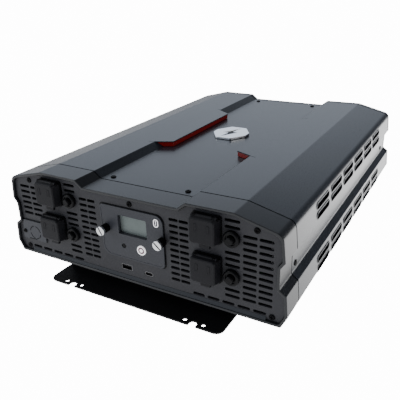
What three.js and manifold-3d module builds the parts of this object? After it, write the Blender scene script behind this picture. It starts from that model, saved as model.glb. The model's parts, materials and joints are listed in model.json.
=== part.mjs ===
// Bench-top power inverter with flip-lid outlets, pull-out display and mounting brackets.
// Millimetres, +Z up, front towards -Y. The origin lies under the middle of the body,
// on the plane that the brackets stand on.
import * as THREE from 'three';
import { mergeVertices } from 'three/addons/utils/BufferGeometryUtils.js';
import Module from 'manifold-3d';

const wasm = await Module();
wasm.setup();

// ---------------------------------------------------------------- driving dimensions
// Body
const bodyLength = 460;
const bodyWidth = 343.6;
const bodyHeight = 107.7;
const standHeight = 18.5;
const seamGap = 0.3;
const sheet = 2;

// Side profile, heights above the pan's floor
const bendHeight = 13;
const lowerWallTop = 35.8;
const grooveFoot = 41.1;
const grooveTop = 62.2;
const upperWallFoot = 69.1;
const eaveDrop = 11.9;
const ledgeDrop = 0.4;
const channelDrop = 7.6;
const coverSplit = 43;

// Side profile, insets from the widest line
const floorInset = 6.6;
const lowerTopInset = 1.8;
const grooveInset = 8.9;
const upperFootInset = 4.2;
const eaveInset = 6.8;
const ridgeInset = 53.9;
const channelHalf = 57.7;
const stepRun = 9.1;

// End caps and panels
const frontCapDepth = 31;
const rearCapDepth = 10;
const capWall = 3;
const panelRecess = 3.3;
const panelThickness = 2.5;
const rimBevel = 1;
const lipRise = 3.4;
const lipScrewGap = 6;
const bossRadius = 6.5;
const bossLength = 12;
const tongueWidth = 11;
const tongueReach = 17;
const rearTongueReach = 24;
const cornerScrewInset = 15.9;
const cornerScrewLevel = 7.6;

// Vent slots in the front panel
const ventHeight = 3.3;
const ventPitch = 6.69;
const ventFirst = 18.3;
const ventRows = 11;
const ventBridge = 1.4;
const innerColumnStarts = [46.5, -67.3];
const innerColumnWidth = 10;
const outerColumnWidth = 14.2;
const outerColumnInset = 26.1;
const outerColumnPitch = 16;
const breakerVentDrop = 0.6;
const chinVentHeight = 8.7;
const chinVentLength = 13.3;
const chinVentPitch = 16.3;
const chinVentStart = 71.3;
const chinVentCount = 5;

// Vent slots in the side walls
const sideVentLength = 42;
const sideVentHeight = 7;
const sideVentPitch = 50.5;
const sideVentMargin = 90;
const sideVentTail = 74;
const sideVentLevels = [85.7, 75.3, 26, 15.6];

// Outlets, measured on the lid
const outletWidth = 31;
const outletHeight = 29.5;
const outletLevels = [86.1, 44.2];
const outletRightX = 89;
const outletLeftX = -106;
const outletDepth = 32;
const outletFlange = 2.5;
const flangeThickness = 2;
const bladeSpread = 6.35;
const bladeHalf = 0.9;
const bladeDepth = 12;
const groundDrop = 7;
const groundRadius = 2.4;
const lidThickness = 9.6;
const lidPinRadius = 1;
const lidKnuckleRadius = 2.2;
const pinClearance = 0.3;
const lidPinHalf = 14;
const lidGap = 0.4;
const earInner = 8.8;
const earWidth = 2.4;
const earRadius = 1.9;
const tabHalf = 5.2;
const tabDrop = 5;

// Breakers
const breakerGap = 2;
const breakerLevels = [80.5, 39.7];
const nutRadius = 8.3;
const nutHeight = 4.4;
const breakerBarrel = 5.5;
const breakerButton = 4;
const breakerProud = 8;
const breakerVentWidth = 15.9;
const breakerHalf = 7;
const breakerDepth = 34;

// Display remote
const displayWidth = 78;
const displayHeight = 58.7;
const displayX = 1;
const displayLevel = 56.95;
const displayPlate = 1.6;
const trayWall = 1.8;
const trayDepth = 17;
const trayEdge = 7;
const trayHalf = 28.5;
const trayX = 4.5;
const boardSetBack = 11;
const boardThickness = 1.6;
const windowWidth = 35.5;
const windowHeight = 21.5;
const windowX = 2.25;
const windowLevel = 66.75;
const windowRecess = 4.8;
const windowLip = 1.5;
const buttonX = 12.1;
const buttonLevel = 42.5;
const buttonRadius = 5.2;
const lensX = -10.4;
const lensRadius = 2.4;
const thumbLevel = 60;
const thumbLeftX = -30.8;
const thumbRightX = 39.6;
const thumbRadius = 5.2;
const thumbProud = 10;
const thumbShank = 2;
const thumbClearance = 0.5;
const slideFit = 0.4;

// Ports
const usbLevel = 15.6;
const usbAX = -10.5;
const usbAWidth = 14;
const usbAHeight = 6.5;
const usbADepth = 15;
const usbCX = 17.9;
const usbCLevel = 14.8;
const usbCWidth = 10.4;
const usbCHeight = 4.6;
const usbCDepth = 10;
const usbShell = 0.7;

// Wiring cover on the left of the face
const wiringWidth = 37.5;
const wiringHeight = 24.5;
const wiringLevel = 29.8;
const wiringInset = 8.6;
const wiringPlate = 1.5;
const knockoutRadius = 8.5;
const knockoutSteps = 5;
const wireHoleWidth = 27;
const wireHoleHeight = 17;
const wireHoleShift = 2;
const wirePitch = 8.5;
const wireWayHalf = 2.8;

// Trim and ledges along the channel
const bumpFrontTip = 147;
const bumpFrontCorner = 160;
const bumpRearCorner = 144;
const bumpRearTip = 123;
const bumpInnerX = 45;
const bumpTipX = 74.5;
const bumpSkin = 1.3;
const slitWidth = 0.8;
const trimWall = 2.4;
const trimSetBack = 0.4;

// Badge in the channel
const badgeX = -2;
const badgeFromFront = 240;
const badgeWidth = 48;
const badgeLength = 52;
const badgeThickness = 3;

// Brackets
const bracketHalf = 111;
const bracketReach = 15.2;
const bracketSheet = 2;
const bracketCorner = 9;
const bracketNotchX = 78.5;
const bracketNotchWidth = 8.4;
const bracketNotchDepth = 7.5;
const bracketHoleSpread = 10.6;
const bracketHoleRadius = 2.6;
const bracketHoleSet = 6;
const bracketWebSet = 24;
const bracketFlange = 34;

// Rear fittings
const fanSize = 80;
const fanDepth = 25;
const fanX = 100;
const fanLift = 4;
const fanRim = 2;
const rotorClearance = 2.5;
const hubRadius = 17;
const bladeCount = 7;
const fanStrut = 3;
const strutHalf = 2.5;
const rotorFrontGap = 4;
const rotorRearGap = 4.5;
const guardPost = 3;
const guardOverlap = 4;
const guardPitch = 11;
const guardHub = 9;
const guardWire = 1.8;
const terminalX = 27;
const terminalLevel = 44;
const studRadius = 5;
const studLength = 14;
const knobHeight = 11;
const knobRadius = 12;
const knobFlutes = 8;
const terminalBase = 34;
const terminalBaseHeight = 5;
const terminalShank = 7.5;
const terminalInside = 8;
const remoteX = 0;
const remoteLevel = 76;
const remoteWidth = 16;
const remoteHeight = 14;
const remoteWall = 2;
const remoteDepth = 14;
const groundX = 0;
const groundLevel = 22;
const groundRod = 3;

// Inside, from the board up
const boardStandoff = 8;
const boardFrontSet = 40;
const boardRearSet = 60;
const sinkInset = 36;
const sinkFoot = 12;
const sinkTop = 84;
const sinkPlate = 5;
const sinkDepth = 22;
const finCount = 9;
const transformerX = -52;
const transformerCore = 76;
const transformerCoil = 64;
const transformerHeight = 68;
const capacitorX = 58;
const capacitorRadius = 17;
const capacitorHeight = 56.1;
const busHalf = 10;
const busSheet = 3;

// ---------------------------------------------------------------- derived places
const frontY = -bodyLength / 2;
const rearY = bodyLength / 2;
const frontSeamY = frontY + frontCapDepth;
const rearSeamY = rearY - rearCapDepth;
const faceY = frontY + panelRecess;
const backY = rearY - panelRecess;
const lowerWallX = bodyWidth / 2;
const grooveX = lowerWallX - grooveInset;
const upperWallX = lowerWallX - upperFootInset;
const eaveX = lowerWallX - eaveInset;
const ridgeX = lowerWallX - ridgeInset;
const ledgeX = channelHalf + stepRun;
const channelLevel = bodyHeight - channelDrop;
const ledgeLevel = bodyHeight - ledgeDrop;
const panelInset = capWall + seamGap;
const cornerScrewX = lowerWallX - cornerScrewInset;
const topScrewX = ridgeX + 21.4;
const topScrewLevel = bodyHeight - 13.8;
const level = (height) => standHeight + height;
const faceScrews = [
  [-cornerScrewX, cornerScrewLevel], [cornerScrewX, cornerScrewLevel],
  [-topScrewX, topScrewLevel], [topScrewX, topScrewLevel], [0, channelLevel - 8.4],
];

// ---------------------------------------------------------------- finishes
function finish(color, roughness, metalness) {
  return new THREE.MeshStandardMaterial({ color, roughness, metalness });
}

const coatedSteel = finish(0x4a5058, 0.45, 0.5);
const capPlastic = finish(0x2d2e33, 0.6, 0);
const blackPlastic = finish(0x18191c, 0.5, 0);
const greyPlastic = finish(0x3f4147, 0.55, 0);
const blackSteel = finish(0x101012, 0.5, 0.4);
const brightSteel = finish(0xd8dade, 0.25, 1);
const chrome = finish(0xe8eef4, 0.12, 1);
const redLens = finish(0x6a0a08, 0.2, 0);
const paleGlass = finish(0x7c8480, 0.2, 0);
const whitePlastic = finish(0xe6e2e2, 0.4, 0);
const clearCap = finish(0x8f9296, 0.35, 0);
const redPlastic = finish(0xa01818, 0.45, 0);
const boardGreen = finish(0x1f5a34, 0.6, 0);
const aluminium = finish(0xa8abb0, 0.4, 0.9);
const copper = finish(0xb87848, 0.35, 1);
const coilIron = finish(0x5a4a3a, 0.6, 0.3);
const capSleeve = finish(0x1e2a5a, 0.4, 0);

// ---------------------------------------------------------------- solids
function solid(geometry) {
  const bare = geometry.index ? geometry.toNonIndexed() : geometry.clone();
  for (const name of Object.keys(bare.attributes)) {
    if (name !== 'position') bare.deleteAttribute(name);
  }
  const merged = mergeVertices(bare, 1e-4);
  const vertProperties = new Float32Array(merged.attributes.position.array);
  const triVerts = new Uint32Array(merged.index.array);
  return new wasm.Manifold(new wasm.Mesh({ numProp: 3, vertProperties, triVerts }));
}

function geometryOf(manifold) {
  const mesh = manifold.getMesh();
  const geometry = new THREE.BufferGeometry();
  geometry.setAttribute('position', new THREE.BufferAttribute(new Float32Array(mesh.vertProperties), 3));
  geometry.setIndex(new THREE.BufferAttribute(new Uint32Array(mesh.triVerts), 1));
  const faceted = geometry.toNonIndexed();
  faceted.computeVertexNormals();
  return faceted;
}

const sorted = (a, b) => [Math.min(a, b), Math.max(a, b)];
const join = (first, ...rest) => rest.reduce((whole, piece) => whole.add(piece), first);
const cut = (first, ...rest) => rest.reduce((whole, piece) => whole.subtract(piece), first);

// A shape drawn in X and Z, pushed from y0 to y1.
function prismY(shape, y0, y1) {
  const geometry = new THREE.ExtrudeGeometry(shape, { depth: y1 - y0, bevelEnabled: false });
  return solid(geometry.rotateX(Math.PI / 2).translate(0, y1, 0));
}

// A shape drawn in X and Y, pushed from z0 to z1.
function prismZ(shape, z0, z1) {
  const geometry = new THREE.ExtrudeGeometry(shape, { depth: z1 - z0, bevelEnabled: false });
  return solid(geometry.translate(0, 0, z0));
}

// A shape drawn in Y and Z, pushed from x0 to x1.
function prismX(shape, x0, x1) {
  const geometry = new THREE.ExtrudeGeometry(shape, { depth: x1 - x0, bevelEnabled: false });
  const turn = new THREE.Matrix4().set(0, 0, 1, x0, 1, 0, 0, 0, 0, 1, 0, 0, 0, 0, 0, 1);
  return solid(geometry.applyMatrix4(turn));
}

function box(x0, x1, y0, y1, z0, z1) {
  const geometry = new THREE.BoxGeometry(x1 - x0, y1 - y0, z1 - z0);
  return solid(geometry.translate((x0 + x1) / 2, (y0 + y1) / 2, (z0 + z1) / 2));
}

function rodY(x, z, radius, y0, y1, sides = 16, backRadius = radius) {
  const geometry = new THREE.CylinderGeometry(backRadius, radius, y1 - y0, sides);
  return solid(geometry.translate(0, (y0 + y1) / 2, 0).translate(x, 0, z));
}

function rodX(y, z, radius, x0, x1, sides = 12) {
  const geometry = new THREE.CylinderGeometry(radius, radius, x1 - x0, sides);
  return solid(geometry.rotateZ(Math.PI / 2).translate((x0 + x1) / 2, y, z));
}

function rodZ(x, y, radius, z0, z1, sides = 16) {
  const geometry = new THREE.CylinderGeometry(radius, radius, z1 - z0, sides);
  return solid(geometry.rotateX(Math.PI / 2).translate(x, y, (z0 + z1) / 2));
}

// ---------------------------------------------------------------- outlines
function polygon(points) {
  return new THREE.Shape(points.map(([x, y]) => new THREE.Vector2(x, y)));
}

// Replaces each corner by an arc of its own radius; points are [x, y, radius, steps].
function rounded(points) {
  const made = [];
  points.forEach(([x, y, radius = 0, steps = 2], i) => {
    const before = points[(i + points.length - 1) % points.length];
    const after = points[(i + 1) % points.length];
    const corner = new THREE.Vector2(x, y);
    const back = new THREE.Vector2(before[0], before[1]).sub(corner);
    const ahead = new THREE.Vector2(after[0], after[1]).sub(corner);
    const half = back.angleTo(ahead) / 2;
    const reach = Math.min(radius / Math.tan(half), back.length() / 2, ahead.length() / 2);
    if (reach < 0.05) {
      made.push([x, y]);
      return;
    }
    const start = corner.clone().addScaledVector(back.normalize(), reach);
    const end = corner.clone().addScaledVector(ahead.normalize(), reach);
    const curve = new THREE.QuadraticBezierCurve(start, corner, end);
    curve.getPoints(steps).forEach((p) => made.push([p.x, p.y]));
  });
  return made;
}

// Moves a closed outline inwards by one distance, with sharp corners.
function inset(points, distance) {
  const area = THREE.ShapeUtils.area(points.map(([x, y]) => new THREE.Vector2(x, y)));
  const side = area > 0 ? distance : -distance;
  return points.map(([x, y, ...rest], i) => {
    const a = points[(i + points.length - 1) % points.length];
    const b = points[(i + 1) % points.length];
    const u = new THREE.Vector2(x - a[0], y - a[1]).normalize();
    const v = new THREE.Vector2(b[0] - x, b[1] - y).normalize();
    const turn = (1 + u.dot(v)) || 1;
    return [x + side * (-u.y - v.y) / turn, y + side * (u.x + v.x) / turn, ...rest];
  });
}

function roundedRect(x, z, width, height, radius, steps = 2) {
  const w = width / 2;
  const h = height / 2;
  const corners = [[x - w, z - h], [x + w, z - h], [x + w, z + h], [x - w, z + h]];
  return rounded(corners.map(([cx, cz]) => [cx, cz, radius, steps]));
}

// A slot whose ends are half circles of two steps each.
function obround(x, z, length, height) {
  const r = height / 2;
  const straight = length / 2 - r;
  const points = [];
  for (const side of [1, -1]) {
    for (let i = 0; i <= 2; i += 1) {
      const angle = (i / 2 - 0.5) * Math.PI;
      points.push([x + side * (straight + r * Math.cos(angle)), z + side * r * Math.sin(angle)]);
    }
  }
  return points;
}

function circle(x, z, radius, steps = 16) {
  return Array.from({ length: steps }, (_, i) => {
    const angle = ((i + 0.5) / steps) * 2 * Math.PI;
    return [x + radius * Math.cos(angle), z + radius * Math.sin(angle)];
  });
}

function withHoles(outline, holes) {
  const shape = polygon(outline);
  shape.holes = holes.map((points) => polygon(points));
  return shape;
}

// Rounded blocks stacked along Y: each section is [y, width, height, radius].
function loftY(x, z, sections, steps = 3) {
  const rings = sections.map(([y, width, height, radius]) =>
    roundedRect(x, z, width, height, radius, steps).map(([px, pz]) => [px, y, pz]));
  const count = rings[0].length;
  const index = [];
  for (let k = 0; k < rings.length - 1; k += 1) {
    for (let i = 0; i < count; i += 1) {
      const a = k * count + i;
      const b = k * count + (i + 1) % count;
      index.push(a, a + count, b, b, a + count, b + count);
    }
  }
  const last = (rings.length - 1) * count;
  for (let i = 1; i < count - 1; i += 1) {
    index.push(0, i, i + 1, last, last + i + 1, last + i);
  }
  const geometry = new THREE.BufferGeometry();
  geometry.setAttribute('position', new THREE.Float32BufferAttribute(rings.flat(2), 3));
  return solid(geometry.setIndex(index));
}

// Right half of the body's section, upwards from the floor's corner.
const halfSection = [
  [lowerWallX - floorInset, level(0), 2.5, 1],
  [lowerWallX, level(bendHeight), 4, 1],
  [lowerWallX - lowerTopInset, level(lowerWallTop), 2, 1],
  [grooveX, level(grooveFoot), 3, 1],
  [grooveX, level(grooveTop), 3, 1],
  [upperWallX, level(upperWallFoot)],
  [eaveX, level(bodyHeight - eaveDrop), 6, 3],
  [ridgeX, level(bodyHeight), 8, 2],
  [ledgeX, level(ledgeLevel), 1.2, 1],
  [channelHalf, level(channelLevel), 1.2, 1],
];
const bodySection = [...halfSection, ...halfSection.map(([x, z, ...rest]) => [-x, z, ...rest]).reverse()];
const section = (distance) => rounded(inset(bodySection, distance));

// ---------------------------------------------------------------- scene
const inverter = new THREE.Group();

function place(name, manifold, material) {
  const mesh = new THREE.Mesh(geometryOf(manifold), material);
  mesh.name = name;
  inverter.add(mesh);
}

// ---------------------------------------------------------------- casing
const sideVentRun = bodyLength - sideVentMargin - sideVentTail;
const sideVentCount = Math.floor((sideVentRun + sideVentPitch - sideVentLength) / sideVentPitch);

function sideVents(levels) {
  const slots = [];
  for (const height of levels) {
    for (let i = 0; i < sideVentCount; i += 1) {
      const y = frontY + sideVentMargin + sideVentLength / 2 + i * sideVentPitch;
      const slot = obround(y, level(height), sideVentLength, sideVentHeight);
      slots.push(prismX(polygon(slot), -sideSpan, -grooveX + 4 * sheet));
      slots.push(prismX(polygon(slot), grooveX - 4 * sheet, sideSpan));
    }
  }
  return slots;
}

const skinFrom = frontSeamY + seamGap / 2;
const skinTo = rearSeamY - seamGap / 2;
const skin = prismY(withHoles(section(0), [section(sheet)]), skinFrom, skinTo);
const sideSpan = lowerWallX + 5;
const splitLevel = level(coverSplit);
const aboveSplit = box(-sideSpan, sideSpan, frontY, rearY, splitLevel + seamGap / 2, level(bodyHeight + 5));
const belowSplit = box(-sideSpan, sideSpan, frontY, rearY, level(-5), splitLevel - seamGap / 2);

// Corners of the ledge that overhangs the channel, on the right when side is 1.
function ledgeCorners(side, back) {
  const slope = (bumpTipX - bumpInnerX) / (bumpFrontCorner - bumpFrontTip);
  const rearSlope = (bumpTipX - bumpInnerX) / (bumpRearCorner - bumpRearTip);
  const outerX = ledgeX + 3;
  const innerX = bumpInnerX + back;
  const shiftFront = back * Math.hypot(1, slope) / slope;
  const shiftRear = back * Math.hypot(1, rearSlope) / rearSlope;
  const frontAt = (x) => frontY + bumpFrontCorner - (x - bumpInnerX) / slope + shiftFront;
  const rearAt = (x) => rearY - bumpRearCorner + (x - bumpInnerX) / rearSlope - shiftRear;
  return [
    [side * outerX, frontAt(outerX)],
    [side * innerX, frontAt(innerX)],
    [side * innerX, rearAt(innerX)],
    [side * outerX, rearAt(outerX)],
  ];
}

const ccw = (points, side) => (side > 0 ? [...points].reverse() : points);

// A narrow slit in the shoulder that runs on from the end of a ledge.
function tipSlit(side, y, rise) {
  const start = [side * (ledgeX - 1), y + rise];
  const end = [side * bumpTipX, y];
  const width = Math.sign(rise) * -slitWidth;
  const points = [start, end, [end[0], end[1] + width], [start[0], start[1] + width]];
  const outline = side * rise > 0 ? points : [...points].reverse();
  return prismZ(polygon(outline), level(ledgeLevel - slitWidth), level(bodyHeight + 1));
}

function topCover() {
  let cover = skin.intersect(aboveSplit);
  for (const side of [-1, 1]) {
    const plate = polygon(ccw(ledgeCorners(side, 0), side));
    cover = cover.add(prismZ(plate, level(ledgeLevel - bumpSkin), level(ledgeLevel)));
    const tipRun = bumpTipX - ledgeX;
    const frontRise = tipRun * (bumpFrontCorner - bumpFrontTip) / (bumpTipX - bumpInnerX);
    const rearRise = tipRun * (bumpRearCorner - bumpRearTip) / (bumpTipX - bumpInnerX);
    cover = cut(cover, tipSlit(side, frontY + bumpFrontTip, frontRise));
    cover = cut(cover, tipSlit(side, rearY - bumpRearTip, -rearRise));
  }
  return cut(cover, ...sideVents(sideVentLevels.filter((height) => height > coverSplit)));
}

function basePan() {
  const lowVents = sideVentLevels.filter((height) => height < coverSplit);
  return cut(skin.intersect(belowSplit), ...sideVents(lowVents));
}

// A red strip that stands under the ledge's edge, with the step's slope cut from its ends.
function trimStrip(side) {
  const outer = polygon(ccw(ledgeCorners(side, trimSetBack), side));
  const inner = ledgeCorners(side, trimSetBack + trimWall);
  inner[0][0] = side * (ledgeX + 6);
  inner[3][0] = side * (ledgeX + 6);
  const low = level(channelLevel) + seamGap;
  const high = level(ledgeLevel - bumpSkin) - seamGap;
  const strip = cut(prismZ(outer, low, high), prismZ(polygon(ccw(inner, side)), low - 1, high + 1));
  const slope = stepRun / (channelDrop - ledgeDrop);
  const slopeX = (height) => channelHalf + slope * (height - level(channelLevel));
  const clear = 2 * seamGap;
  const step = [
    [side * (slopeX(low - 1) - clear), low - 1],
    [side * (slopeX(high + 1) - clear), high + 1],
    [side * (ledgeX + 20), high + 1],
    [side * (ledgeX + 20), low - 1],
  ];
  return cut(strip, prismY(polygon(side > 0 ? [...step].reverse() : step), frontY, rearY));
}

// An end bezel: a ring with the body's section, screw bosses and tongues, and a sloped front lip.
function endCap(front) {
  const outerY = front ? frontY : rearY;
  const inward = front ? 1 : -1;
  const depth = front ? frontCapDepth : rearCapDepth;
  const reach = front ? tongueReach : rearTongueReach;
  const span = (from, to) => sorted(outerY + inward * from, outerY + inward * to);
  const ring = (outer, hole, from, to) => {
    const bezel = withHoles(section(outer), [section(hole)]);
    return prismY(bezel, ...span(from, to));
  };
  const bossFrom = panelRecess + panelThickness + seamGap;
  const bossTo = Math.min(bossFrom + bossLength, depth - seamGap / 2);
  let cap = join(
    ring(0, capWall, rimBevel, depth - seamGap / 2),
    ring(rimBevel * 0.6, capWall - 0.2, 0, rimBevel),
  );
  for (const [x, height] of faceScrews) {
    cap = cap.add(rodY(x, level(height), bossRadius, ...span(bossFrom, bossTo), 8));
  }
  const tongueIn = sheet + seamGap;
  const tongueFrom = Math.max(depth - 6, bossFrom);
  for (const side of [-1, 1]) {
    const wallX = sorted(side * (grooveX - tongueIn), side * (grooveX - tongueIn - capWall));
    const wallZ = level((grooveFoot + grooveTop) / 2);
    const run = span(tongueFrom, depth + reach);
    cap = cap.add(box(...wallX, ...run, wallZ - tongueWidth / 2, wallZ + tongueWidth / 2));
    const roofX = sorted(side * (channelHalf - 5), side * (channelHalf - 5 - tongueWidth));
    const roofZ = level(channelLevel) - tongueIn;
    cap = cap.add(box(...roofX, ...run, roofZ - capWall, roofZ));
  }
  if (!front) return cap;
  const lip = polygon([
    [frontY + rimBevel, level(capWall - 0.5)],
    [faceY - seamGap, level(capWall - 0.5)],
    [faceY - seamGap, level(capWall + lipRise)],
  ]);
  const lipHalf = cornerScrewX - lipScrewGap;
  return cap.add(prismX(lip, -lipHalf, lipHalf));
}

// ---------------------------------------------------------------- front panel
const breakerOffset = outletWidth / 2 + breakerGap + nutRadius;
const breakerX = [outletLeftX + breakerOffset, outletRightX + breakerOffset];
const outletX = [outletLeftX, outletRightX];
const outletCoreWidth = outletWidth - 2 * outletFlange;
const outletCoreHeight = outletHeight - 2 * outletFlange;
const outerColumns = [upperWallX - outerColumnInset, upperWallX - outerColumnInset - outerColumnPitch];
const wiringLeft = -(lowerWallX - wiringInset);
const wiringX = wiringLeft + wiringWidth / 2;
const wiringTop = wiringLevel + wiringHeight / 2;
const ventLevels = Array.from({ length: ventRows }, (_, i) => ventFirst + i * ventPitch);

function panelVents() {
  const holes = [];
  const add = (x, height, width) => holes.push(obround(x, level(height), width, ventHeight));
  for (const height of ventLevels) {
    for (const start of innerColumnStarts) {
      add(start + innerColumnWidth / 2, height, innerColumnWidth);
      add(start + innerColumnWidth * 1.5 + ventBridge, height, innerColumnWidth);
    }
    for (const x of outerColumns) {
      add(x + outerColumnWidth / 2, height, outerColumnWidth);
      if (height > wiringTop + ventHeight) add(-x - outerColumnWidth / 2, height, outerColumnWidth);
    }
  }
  for (const x of breakerX) {
    for (let i = -1; i < ventRows + 2; i += 1) {
      const height = ventFirst + i * ventPitch - breakerVentDrop;
      const clear = breakerLevels.every((at) => Math.abs(at - height) > nutRadius + 1);
      if (clear && height > chinVentHeight + ventHeight) add(x, height, breakerVentWidth);
    }
  }
  for (let i = 0; i < chinVentCount; i += 1) {
    const x = chinVentStart + chinVentLength / 2 + i * chinVentPitch;
    add(x, chinVentHeight, chinVentLength);
    add(-x, chinVentHeight, chinVentLength);
  }
  return holes;
}

function frontPanel() {
  const holes = panelVents();
  for (const x of outletX) {
    for (const height of outletLevels) {
      const gap = 2 * seamGap;
      holes.push(roundedRect(x, level(height), outletCoreWidth + gap, outletCoreHeight + gap, 2));
    }
  }
  for (const x of breakerX) {
    for (const height of breakerLevels) {
      holes.push(circle(x, level(height), breakerBarrel + seamGap));
    }
  }
  const fit = 2 * slideFit;
  holes.push(roundedRect(trayX, level(displayLevel), 2 * trayHalf + fit, displayHeight - trayEdge + fit, 2));
  for (const x of [thumbLeftX, thumbRightX]) {
    holes.push(circle(x, level(thumbLevel), thumbShank + thumbClearance, 10));
  }
  holes.push(roundedRect(usbAX, level(usbLevel), usbAWidth + 2 * seamGap, usbAHeight + 2 * seamGap, 0.5, 1));
  holes.push(roundedRect(usbCX, level(usbCLevel), usbCWidth + 2 * seamGap, usbCHeight + 2 * seamGap, 2, 2));
  const wireHoleX = wiringX + wireHoleShift;
  holes.push(roundedRect(wireHoleX, level(wiringLevel - 1), wireHoleWidth, wireHoleHeight, 2));
  return prismY(withHoles(section(panelInset), holes), faceY, faceY + panelThickness);
}

// ---------------------------------------------------------------- outlets
const flangeY = faceY - seamGap - flangeThickness;
const lidBack = flangeY - lidGap;
const lidPinY = lidBack - lidKnuckleRadius - 1;

function outletBody(x, height) {
  const z = level(height);
  const pinZ = z + outletHeight / 2 - lidKnuckleRadius;
  const flangeFront = [flangeY, outletWidth - 1, outletHeight - 1, 3];
  const flangeRear = [faceY - seamGap, outletWidth, outletHeight, 3];
  const coreFront = [faceY - seamGap - 0.5, outletCoreWidth, outletCoreHeight, 2];
  const coreRear = [faceY + outletDepth, outletCoreWidth, outletCoreHeight, 2];
  let body = join(
    loftY(x, z, [flangeFront, flangeRear], 2),
    loftY(x, z, [coreFront, coreRear], 1),
  );
  const slotDepth = flangeY + bladeDepth;
  for (const side of [-1, 1]) {
    const ear = sorted(x + side * earInner, x + side * (earInner + earWidth));
    body = body.add(box(...ear, lidPinY, flangeY + 0.5, pinZ - earRadius, pinZ + earRadius));
    body = body.add(rodX(lidPinY, pinZ, earRadius, ...ear));
    const blade = [x + side * bladeSpread - bladeHalf, x + side * bladeSpread + bladeHalf];
    body = cut(body, box(...blade, flangeY - 1, slotDepth, z - 1, z + 6.5));
  }
  body = body.add(rodX(lidPinY, pinZ, lidPinRadius, x - lidPinHalf, x + lidPinHalf, 10));
  return cut(body, rodY(x, z - groundDrop, groundRadius, flangeY - 1, slotDepth, 10));
}

function outletLid(x, height) {
  const z = level(height);
  const backFace = lidBack;
  const lidTop = z + outletHeight / 2;
  const pinY = lidPinY;
  const pinZ = lidTop - lidKnuckleRadius;
  const frontFace = backFace - lidThickness;
  let lid = loftY(x, z, [
    [frontFace, outletWidth - 7, outletHeight - 6, 3],
    [frontFace + 1.6, outletWidth - 3.8, outletHeight - 3, 4],
    [backFace, outletWidth - 1, outletHeight - 0.8, 3.5],
  ], 2);
  const corner = polygon([
    [pinY, pinZ],
    [backFace + 1, pinZ - 1],
    [backFace + 1, lidTop + 3],
    [pinY, lidTop + 3],
  ]);
  lid = cut(lid, prismX(corner, x - outletWidth, x + outletWidth));
  const knuckleHalf = outletWidth / 2 - outletFlange;
  lid = lid.add(rodX(pinY, pinZ, lidKnuckleRadius, x - knuckleHalf, x + knuckleHalf));
  lid = cut(lid, rodX(pinY, pinZ, lidPinRadius + pinClearance, x - outletWidth, x + outletWidth, 10));
  const reach = lidKnuckleRadius + 0.4;
  for (const side of [-1, 1]) {
    const notch = sorted(x + side * (earInner - 0.4), x + side * (earInner + earWidth + 0.4));
    lid = cut(lid, box(...notch, pinY - reach, backFace + 1, pinZ - reach, lidTop + 3));
  }
  const foot = z - outletHeight / 2;
  return lid.add(box(x - tabHalf, x + tabHalf, backFace - 4, backFace - 0.6, foot - tabDrop, foot + 2));
}

// ---------------------------------------------------------------- breakers
const breakerFace = faceY - seamGap;

function breakerBody(x, height) {
  const z = level(height);
  const body = join(
    rodY(x, z, nutRadius - 1.4, breakerFace - nutHeight, breakerFace - nutHeight + 1.4, 16, nutRadius),
    rodY(x, z, nutRadius, breakerFace - nutHeight + 1.4, breakerFace, 16),
    rodY(x, z, breakerBarrel, breakerFace - 1, faceY + 12, 10),
    box(x - breakerHalf, x + breakerHalf, faceY + panelThickness + 2, faceY + breakerDepth,
      z - 2 * breakerHalf, z + 2 * breakerHalf),
  );
  return cut(body, rodY(x, z, breakerButton + pinClearance, breakerFace - nutHeight - 1, faceY + 10, 12));
}

function breakerPush(x, height) {
  const z = level(height);
  const tip = breakerFace - breakerProud;
  return join(
    rodY(x, z, breakerButton - 0.9, tip, tip + 0.9, 12, breakerButton),
    rodY(x, z, breakerButton, tip + 0.9, faceY + 5, 12),
  );
}

// ---------------------------------------------------------------- display remote
const plateBack = faceY - seamGap;
const plateFront = plateBack - displayPlate;
const windowY = plateFront + windowRecess;
const trayTall = displayHeight - trayEdge;

function displayHousing() {
  const z = level(displayLevel);
  const w = displayWidth / 2;
  const h = displayHeight / 2;
  const holeRadius = thumbShank + slideFit;
  const plate = rounded([
    [displayX - w, z - h, 9, 4],
    [displayX + w, z - h, 5, 3],
    [displayX + w, z + h, 9, 4],
    [displayX - w, z + h, 4, 3],
  ]);
  const opening = roundedRect(windowX, level(windowLevel), windowWidth, windowHeight, 1.2, 2);
  const frame = roundedRect(windowX, level(windowLevel), windowWidth + 3, windowHeight + 3, 2, 2);
  const holes = [
    opening,
    circle(buttonX, level(buttonLevel), buttonRadius + pinClearance, 20),
    circle(lensX, level(buttonLevel), lensRadius + pinClearance, 14),
    circle(thumbLeftX, level(thumbLevel), holeRadius, 12),
  ];
  const trayOuter = roundedRect(trayX, z, 2 * trayHalf, trayTall, 2);
  const trayInner = roundedRect(trayX, z, 2 * (trayHalf - trayWall), trayTall - 2 * trayWall, 1);
  const housing = join(
    prismY(withHoles(plate, holes), plateFront, plateBack),
    prismY(withHoles(frame, [opening]), plateBack - 0.4, windowY),
    prismY(withHoles(trayOuter, [trayInner]), plateBack - 0.4, plateBack + trayDepth),
  );
  return cut(housing, rodY(thumbRightX, level(thumbLevel), holeRadius, plateFront - 1, plateBack + 0.01, 12));
}

function displayWindow() {
  const width = windowWidth + 2 * windowLip;
  const outline = roundedRect(windowX, level(windowLevel), width, windowHeight + 2 * windowLip, 1);
  return prismY(polygon(outline), windowY + seamGap, windowY + seamGap + 2);
}

function displayBoard() {
  const z = level(displayLevel);
  const width = 2 * (trayHalf - trayWall) - 1;
  const outline = roundedRect(trayX, z, width, trayTall - 2 * trayWall - 1, 1);
  return prismY(polygon(outline), plateBack + boardSetBack, plateBack + boardSetBack + boardThickness);
}

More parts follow.
